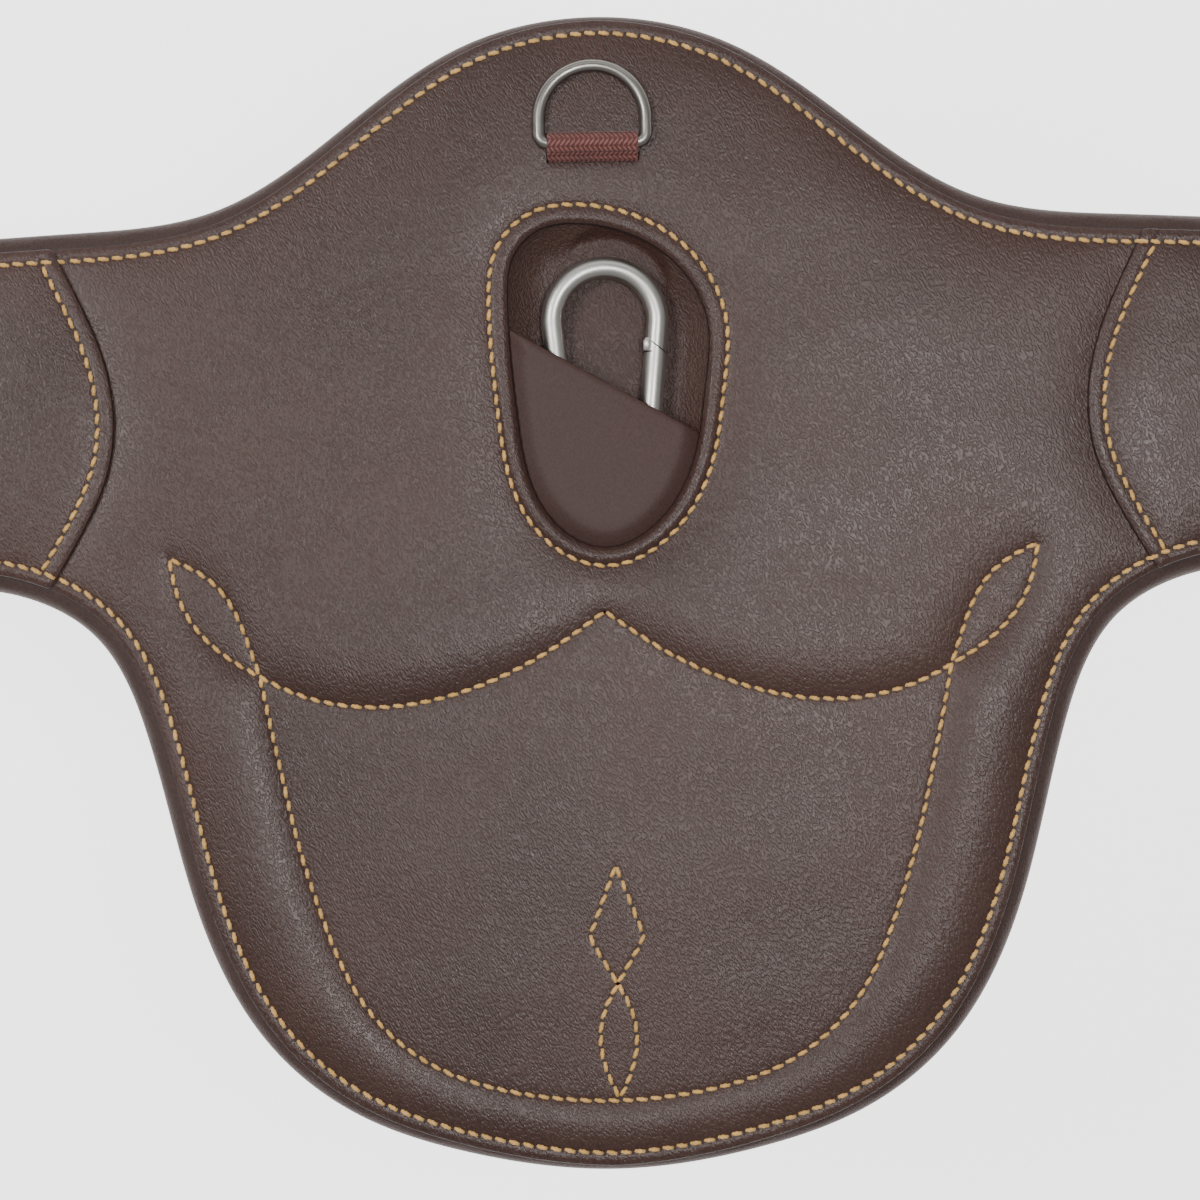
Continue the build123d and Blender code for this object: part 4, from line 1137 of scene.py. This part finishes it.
# ---------------------------------------------------------------- tapes, straps and elastics
def woven_band(
    name, path, across, wide, thick, relief, finish, hollow=None, cell=0.5, proud=None
):
    """A tape of even thickness along a path in a plane, with its weave raised on both faces.

    proud is the finish of the yarns that stand highest, where it differs: a paler copy of the tape, as
    painted highlight.
    """
    path = np.asarray(path, float)
    run = np.concatenate([[0], np.cumsum(np.linalg.norm(np.diff(path, axis=0), axis=1))])
    way = tangents(path)
    across = np.asarray(across, float)
    out = np.cross(way, across)
    slots = np.linspace(-wide / 2, wide / 2, max(2, round(wide / cell)) + 1)
    rows, columns = len(path), len(slots)
    high = relief(run[:, None], slots[None, :])
    edge = np.minimum(1, (wide / 2 - np.abs(slots)) / 0.6)[None, :]
    lift = (thick / 2 * np.sqrt(1 - (1 - edge) ** 2 * 0.85) + high * edge)[:, :, None]
    base = path[:, None, :] + across[None, None, :] * slots[None, :, None]
    upper = (base + out[:, None, :] * lift).reshape(-1, 3)
    lower = (base - out[:, None, :] * lift).reshape(-1, 3)
    kept = np.ones((rows - 1, columns - 1), bool)
    if hollow is not None:
        middle = (base[:-1, :-1] + base[1:, 1:]) / 2
        kept &= ~hollow(middle)
    index = np.arange(rows * columns).reshape(rows, columns)
    count = rows * columns
    faces, raised = [], set()
    # The highest yarns take the proud finish, which paints their highlight.
    top = high > np.quantile(high, 0.6)
    for i, j in np.argwhere(kept):
        a, b, c, d = index[i, j], index[i + 1, j], index[i + 1, j + 1], index[i, j + 1]
        if proud is not None and top[i, j]:
            raised |= {len(faces), len(faces) + 1}
        faces += [(a, b, c, d), (d + count, c + count, b + count, a + count)]
        if j == 0 or not kept[i, j - 1]:
            faces.append((b, a, a + count, b + count))
        if j == columns - 2 or not kept[i, j + 1]:
            faces.append((d, c, c + count, d + count))
        if i == 0 or not kept[i - 1, j]:
            faces.append((a, d, d + count, a + count))
        if i == rows - 2 or not kept[i + 1, j]:
            faces.append((c, b, b + count, c + count))
    return make_piece(name, np.vstack([upper, lower]), faces, finish, proud, raised)


def chevrons(run, across):
    """Herringbone rows: fine ribs that lean one way, then the other, drawn coarse to show."""
    row, yarn = 2.05, 1.5
    lean = np.where(np.floor(run / row) % 2 == 0, 1, -1)
    yarns = np.sin(2 * math.pi * (across + lean * (run % row) * 0.8) / yarn)
    return 0.16 * yarns + 0.2 * np.abs(np.sin(math.pi * run / row)) - 0.16


def ribs(run, across):
    """Elastic webbing: rounded ribs along it, drawn in by fine cross threads."""
    return 0.16 * np.abs(np.sin(math.pi * across / 2.9)) + 0.05 * np.sin(2 * math.pi * run / 1.3)


def plain_weave(run, across):
    """A plain weave: threads over and under each other."""
    return 0.07 * np.sin(2 * math.pi * run / 1.1) * np.sin(2 * math.pi * across / 1.1)


def bent_round(centre, radius, first, last, steps=26):
    """Points of an arc, angles in degrees."""
    turn = np.radians(np.linspace(first, last, steps))
    return [(centre[0] + radius * math.cos(t), centre[1] + radius * math.sin(t)) for t in turn]


class GIRTH_OT_tapes(bpy.types.Operator):
    """Builds the woven loop that holds the D-ring, and the strap that ties the hook down"""

    bl_idname = "girth.tapes"
    bl_label = "Woven tapes"

    def execute(self, context):
        thick, bar_room = 1.2, 2.1
        bar = (box_mm("d_ring")[0][1] + 2.0, TAPE_HIGH[2] - thick - bar_room)
        reach = bar_room + thick / 2
        middle_x = (TAPE_LOW[0] + TAPE_HIGH[0]) / 2
        wide = TAPE_HIGH[0] - TAPE_LOW[0]
        slit = TAPE_LOW[1]
        loop = [(slit + 0.62, FOAM_TOP - 1.0), (slit + 0.62, FRONT_TOP + 0.2)]
        loop += bent_round(bar, reach, 172, -75)
        loop += [(slit + 1.82, FRONT_TOP + 0.1), (slit + 1.82, FOAM_TOP - 1.0)]
        path = even(np.array(loop), 0.2)
        path = np.column_stack([np.full(len(path), middle_x), path])
        tape = woven_band(
            "d_ring_tape_loop", path, (1, 0, 0), wide, thick - 0.16, chevrons, finish_of("tape"),
            cell=0.22, proud=finish_of("tape_painted_highlight"),
        )
        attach(tape, "girth")
        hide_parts("d_ring_tape")

        low, high = box_mm("hook_strap")
        hook_low, hook_high = box_mm("hook_body")
        wire = 3.5  # the hook's wire, half across
        toe = (hook_low[1] + wire, (hook_low[2] + hook_high[2]) / 2)
        reach = wire + 0.1 + 0.45
        loop = [(low[1], low[2] + 1.35), (low[1] + 5.5, low[2] + 1.6)]
        loop += bent_round(toe, reach, 150, -140, 30)
        loop += [(low[1] + 5.5, low[2] + 0.5), (low[1], low[2] + 0.45)]
        path = even(np.array(loop), 0.35)
        path = np.column_stack([np.full(len(path), (low[0] + high[0]) / 2), path])
        strap = woven_band(
            "hook_strap_loop", path, (1, 0, 0), high[0] - low[0] - 0.1, 0.78, plain_weave,
            finish_of("tape"), cell=0.4,
        )
        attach(strap, "hook_tether")
        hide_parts("hook_strap")
        return {"FINISHED"}


class GIRTH_OT_elastics(bpy.types.Operator):
    """Builds the four ribbed elastic straps, each folded round its buckle's bar"""

    bl_idname = "girth.elastics"
    bl_label = "Elastic straps"

    def execute(self, context):
        layer, bar_z = 2.0, 4.35  # one layer's thickness, and the buckle bar's height
        step = 1.35  # from the bar's height to where the two layers meet
        for part, side in SIDES.items():
            for row in ("front", "rear"):
                name = f"{part}_{row}"
                low, high = box_mm(f"elastic_{name}")
                middle = (low[1] + high[1]) / 2
                bar_x = max(abs(low[0]), abs(high[0])) - bar_z
                root_x = min(abs(low[0]), abs(high[0]))
                root_z = high[2] - layer
                reach = bar_z - layer / 2
                loop = [(root_x + 0.5, root_z + layer / 2), (ARM_END - 2, root_z + layer / 2)]
                loop += [(bar_x - 14, bar_z + step + layer / 2)]
                loop += bent_round((bar_x, bar_z), reach, 100, -100, 30)
                loop += [(bar_x - 14, bar_z + step - layer / 2)]
                loop += [(ARM_END - 2, root_z - layer / 2), (root_x + 0.5, root_z - layer / 2)]
                path = even(np.array(loop), 0.65)
                path = np.column_stack([side * path[:, 0], np.full(len(path), middle), path[:, 1]])

                def tongue_room(points):
                    """Where the band is open for the buckle's tongue."""
                    near = np.abs(np.abs(points[:, :, 0]) - bar_x) < 2 * bar_z
                    return near & (np.abs(points[:, :, 1] - middle) < TONGUE_ROOM)

                elastic = woven_band(
                    f"elastic_{name}_web", path, (0, 1, 0), high[1] - low[1], layer - 0.3, ribs,
                    finish_of("elastic"), tongue_room, cell=0.72,
                )
                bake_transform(elastic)
                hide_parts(f"elastic_{name}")
        return {"FINISHED"}


class GIRTH_OT_gate_nose(bpy.types.Operator):
    """Builds the nose at the gate's free end, and a thin dark band of painted shade for the fine gap
    round the wire below it
    """

    bl_idname = "girth.gate_nose"
    bl_label = "Gate nose"

    def execute(self, context):
        low, high = box_mm("hook_gate")
        pin_low, pin_high = box_mm("gate_pin")
        radius = (high[0] - low[0]) * 0.37  # the leaning gate's box is wider than its wire
        middle_z = (low[2] + high[2]) / 2
        top = high[0] - radius
        foot = (pin_low[0] + pin_high[0]) / 2
        lean = (top - foot) / (high[1] - (pin_low[1] + pin_high[1]) / 2)
        # The nose's outline from the gate's top, and the heights of its faces with their bevel.
        nose = [(-3.9, -4.4), (-3.9, -1.1), (-3.1, 0.0), (-0.9, 0.0), (-0.3, -4.4)]
        levels = [(-2.0, 0.0), (2.3, 0.0), (2.75, 0.35)]
        centre = np.mean(nose, axis=0)
        verts, faces = [], []
        for z, inset in levels:
            for x, y in nose:
                away = np.array([x, y]) - centre
                x, y = centre + away * (1 - inset / np.linalg.norm(away))
                verts.append((top + x, high[1] + y, middle_z + z))
        sides = len(nose)
        for k in range(len(levels) - 1):
            for i in range(sides):
                j = (i + 1) % sides
                faces.append((k * sides + i, k * sides + j, (k + 1) * sides + j, (k + 1) * sides + i))
        faces.append(tuple(range(2 * sides, 3 * sides)))
        faces.append(tuple(range(sides))[::-1])
        # The gap's painted shade: a thin dark band round the wire, from below upwards.
        band = ((-4.75, -0.1), (-4.7, 0.03), (-4.4, 0.03), (-4.35, -0.1))
        gap_shade_from, around = len(faces), 36
        start = len(verts)
        for y, proud in band:
            r = radius + proud
            for a in np.linspace(0, 2 * math.pi, around, endpoint=False):
                verts.append((
                    top + y * lean + r * math.cos(a), high[1] + y, middle_z + r * math.sin(a)
                ))
        for k in range(len(band) - 1):
            for i in range(around):
                j = (i + 1) % around
                a, b = start + k * around, start + (k + 1) * around
                faces.append((a + i, b + i, b + j, a + j))
        piece = make_piece(
            "gate_nose", np.array(verts), faces, finish_of("hook"), finish_of("hole"),
            set(range(gap_shade_from, len(faces))),
        )
        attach(piece, "gate")
        return {"FINISHED"}


class GIRTH_OT_hardware(bpy.types.Operator):
    """Finishes the metal parts and every CAD solid that the soft pieces stand for"""

    bl_idname = "girth.hardware"
    bl_label = "Hardware finishes"

    def execute(self, context):
        by_start = {
            "hook_body": "hook", "hook_gate": "hook", "gate_": "hook", "d_ring": "ring",
            "buckle_": "buckle", "lining": "lining", "foam": "lining", "front": "front",
            "arm_cover": "front",
            "pocket_liner": "front", "pocket_flap": "flap", "impact": "sheet", "load": "elastic",
            "hook_strap": "tape", "d_ring_tape": "tape", "elastic": "elastic", "seam": "thread",
        }
        for node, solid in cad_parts.items():
            start = max((s for s in by_start if node.startswith(s)), key=len)
            solid.data.materials.clear()
            solid.data.materials.append(finish_of(by_start[start]))
        return {"FINISHED"}


# ---------------------------------------------------------------- stage
def area_light(name, place, aim, size, power, colour=(1, 1, 1)):
    """A rectangular softbox, in metres and watts."""
    data = bpy.data.lights.new(name, "AREA")
    data.shape = "RECTANGLE"
    data.size, data.size_y = size
    data.energy = power
    data.color = colour
    light = bpy.data.objects.new(name, data)
    light.location = place
    light.rotation_euler = (Vector(aim) - Vector(place)).to_track_quat("-Z", "Y").to_euler()
    bpy.context.scene.collection.objects.link(light)


class GIRTH_OT_stage(bpy.types.Operator):
    """Sets the pale floor, the softboxes and the camera"""

    bl_idname = "girth.stage"
    bl_label = "Stage"

    def execute(self, context):
        stage = context.scene.girth_stage
        lines, reach = 9, 20000  # grid lines each way, and how far the floor goes, mm
        grid = np.linspace(-1, 1, lines) * reach
        verts = np.array([(x, y, -stage.floor_drop / MM) for y in grid for x in grid])
        corners = [r * lines + c for r in range(lines - 1) for c in range(lines - 1)]
        faces = [(k, k + 1, k + lines + 1, k + lines) for k in corners]
        material, tree, place = new_material("matt_white_paper_sweep")
        tooth = noise(tree, place, 1.5, 3.0)
        # Matt paper that its own glow brings near to white.
        paper = finish_material(material, tree, {
            "Base Color": (0.93, 0.93, 0.93, 1),
            "Roughness": 0.9,
            "Normal": bumped(tree, tooth, 0.1, 0.1),
            "Emission Color": (1, 1, 1, 1),
            "Emission Strength": stage.floor_glow,
        })
        floor = make_piece("floor", verts, faces, paper)
        world = bpy.data.worlds.new("pale_studio")
        world.use_nodes = True
        background = world.node_tree.nodes["Background"]
        background.inputs["Color"].default_value = (1, 1, 1, 1)
        background.inputs["Strength"].default_value = stage.fill
        context.scene.world = world
        area_light("overhead", (0.0, -0.02, 1.7), (0, 0, 0), (0.7, 0.42), stage.overhead)
        area_light("left", (-0.8, 0.25, 1.25), (0, 0, 0), (0.5, 0.5), stage.left)
        area_light("right", (0.27, 0.0, 1.5), (0.1, 0, 0), (0.2, 0.3), stage.right)
        area_light("back", (0.0, 1.1, 0.8), (0, 0.05, 0), (1.4, 0.4), stage.back)
        camera_data = bpy.data.cameras.new("camera")
        camera_data.lens = 100
        camera_data.sensor_width = 36
        camera_data.clip_start = 0.05
        camera = bpy.data.objects.new("camera", camera_data)
        aside, down = -1.4 * MM, -2.2 * MM
        camera.location = (aside, down, stage.camera_height)
        camera.rotation_euler = (0, 0, stage.camera_turn)
        context.scene.collection.objects.link(camera)
        context.scene.camera = camera
        return {"FINISHED"}


# ---------------------------------------------------------------- what a user may change
class GirthLooks(bpy.types.PropertyGroup):
    """Sizes of the stitching and padding in millimetres, and the finishes' colours."""

    stitch_pitch: FloatProperty(
        name="Stitch pitch", description="Needle hole to needle hole, mm", default=4.4
    )
    stitch_long: FloatProperty(
        name="Stitch length", description="Thread seen between its holes, mm", default=3.6
    )
    stitch_slant: FloatProperty(
        name="Stitch slant", description="Lean of a stitch from its seam, degrees", default=-9
    )
    thread_size: FloatProperty(name="Thread", description="Thread's diameter, mm", default=1.25)
    foam_reach: FloatProperty(
        name="Foam reach", description="How far in from a seam foam lifts the leather, mm", default=9.5
    )
    field_rise: FloatProperty(
        name="Field rise", description="Padding's rise on the upper field, mm", default=1.7
    )
    rim_rise: FloatProperty(
        name="Rim rise", description="Padding's rise round the guard, mm", default=4.4
    )
    flat_rise: FloatProperty(
        name="Flat rise", description="Padding's rise inside the guard's seam, mm", default=0.4
    )
    flap_rise: FloatProperty(
        name="Flap rise", description="How far the pocket's flap bulges, mm", default=2.7
    )
    leather: StringProperty(name="Leather", description="Front, sRGB hex", default="#4e352e")
    leather_shade: StringProperty(
        name="Leather shade", description="The front's darker parts", default="#442e28"
    )
    lining: StringProperty(name="Lining", description="Lining leather, sRGB hex", default="#44302a")
    flap: StringProperty(name="Flap", description="Smooth flap leather, sRGB hex", default="#4b312c")
    edge: StringProperty(name="Cut edge", description="Burnished edge, sRGB hex", default="#2a1c18")
    thread: StringProperty(name="Thread", description="Sewing thread, sRGB hex", default="#efbd70")
    tape: StringProperty(name="Tape", description="Woven tape, sRGB hex", default="#643632")
    elastic: StringProperty(name="Elastic", description="Webbing, sRGB hex", default="#4a362f")


class GirthStage(bpy.types.PropertyGroup):
    """Lights in watts, and the camera."""

    overhead: FloatProperty(
        name="Overhead", description="Overhead softbox", default=2, unit="POWER"
    )
    left: FloatProperty(name="Left", description="Left softbox", default=8.0, unit="POWER")
    right: FloatProperty(name="Right", description="Right softbox", default=6.5, unit="POWER")
    back: FloatProperty(
        name="Back", description="Softbox beyond the chest edge", default=2, unit="POWER"
    )
    fill: FloatProperty(name="Fill", description="Strength of the pale surroundings", default=0.3)
    floor_glow: FloatProperty(
        name="Floor glow", description="Light that the sweep itself gives", default=2.4
    )
    floor_drop: FloatProperty(
        name="Floor drop", description="How far below the girth the sweep lies, so that the bent "
        "arms clear it", default=0.19, unit="LENGTH"
    )
    camera_height: FloatProperty(
        name="Camera height", description="Above the resting plane", default=1.0547, unit="LENGTH"
    )
    camera_turn: FloatProperty(
        name="Camera turn", description="About the vertical", default=math.radians(-1.09),
        subtype="ANGLE"
    )


class GIRTH_PT_panel(bpy.types.Panel):
    """Lists the girth's sizes and the buttons that build it"""

    bl_label = "Stud guard girth"
    bl_idname = "GIRTH_PT_panel"
    bl_space_type = "VIEW_3D"
    bl_region_type = "UI"
    bl_category = "Girth"

    def draw(self, context):
        for group in (context.scene.girth_looks, context.scene.girth_stage):
            for key in group.__annotations__:
                self.layout.prop(group, key)
        for operator in OPERATORS:
            self.layout.operator(operator.bl_idname)


OPERATORS = (
    GIRTH_OT_stage, GIRTH_OT_front_leather, GIRTH_OT_lining, GIRTH_OT_arm_covers, GIRTH_OT_pocket,
    GIRTH_OT_stitching, GIRTH_OT_tapes, GIRTH_OT_elastics, GIRTH_OT_gate_nose, GIRTH_OT_hardware,
)
CLASSES = (GirthLooks, GirthStage, *OPERATORS, GIRTH_PT_panel)


def register():
    """Registers the classes and the settings."""
    for each in CLASSES:
        bpy.utils.register_class(each)
    bpy.types.Scene.girth_looks = PointerProperty(type=GirthLooks)
    bpy.types.Scene.girth_stage = PointerProperty(type=GirthStage)


def unregister():
    """Takes them away again."""
    del bpy.types.Scene.girth_looks
    del bpy.types.Scene.girth_stage
    for each in reversed(CLASSES):
        bpy.utils.unregister_class(each)


def main():
    """Builds everything."""
    register()
    for operator in OPERATORS:
        getattr(bpy.ops.girth, operator.bl_idname.split(".")[1])()


if __name__ == "__main__":
    main()
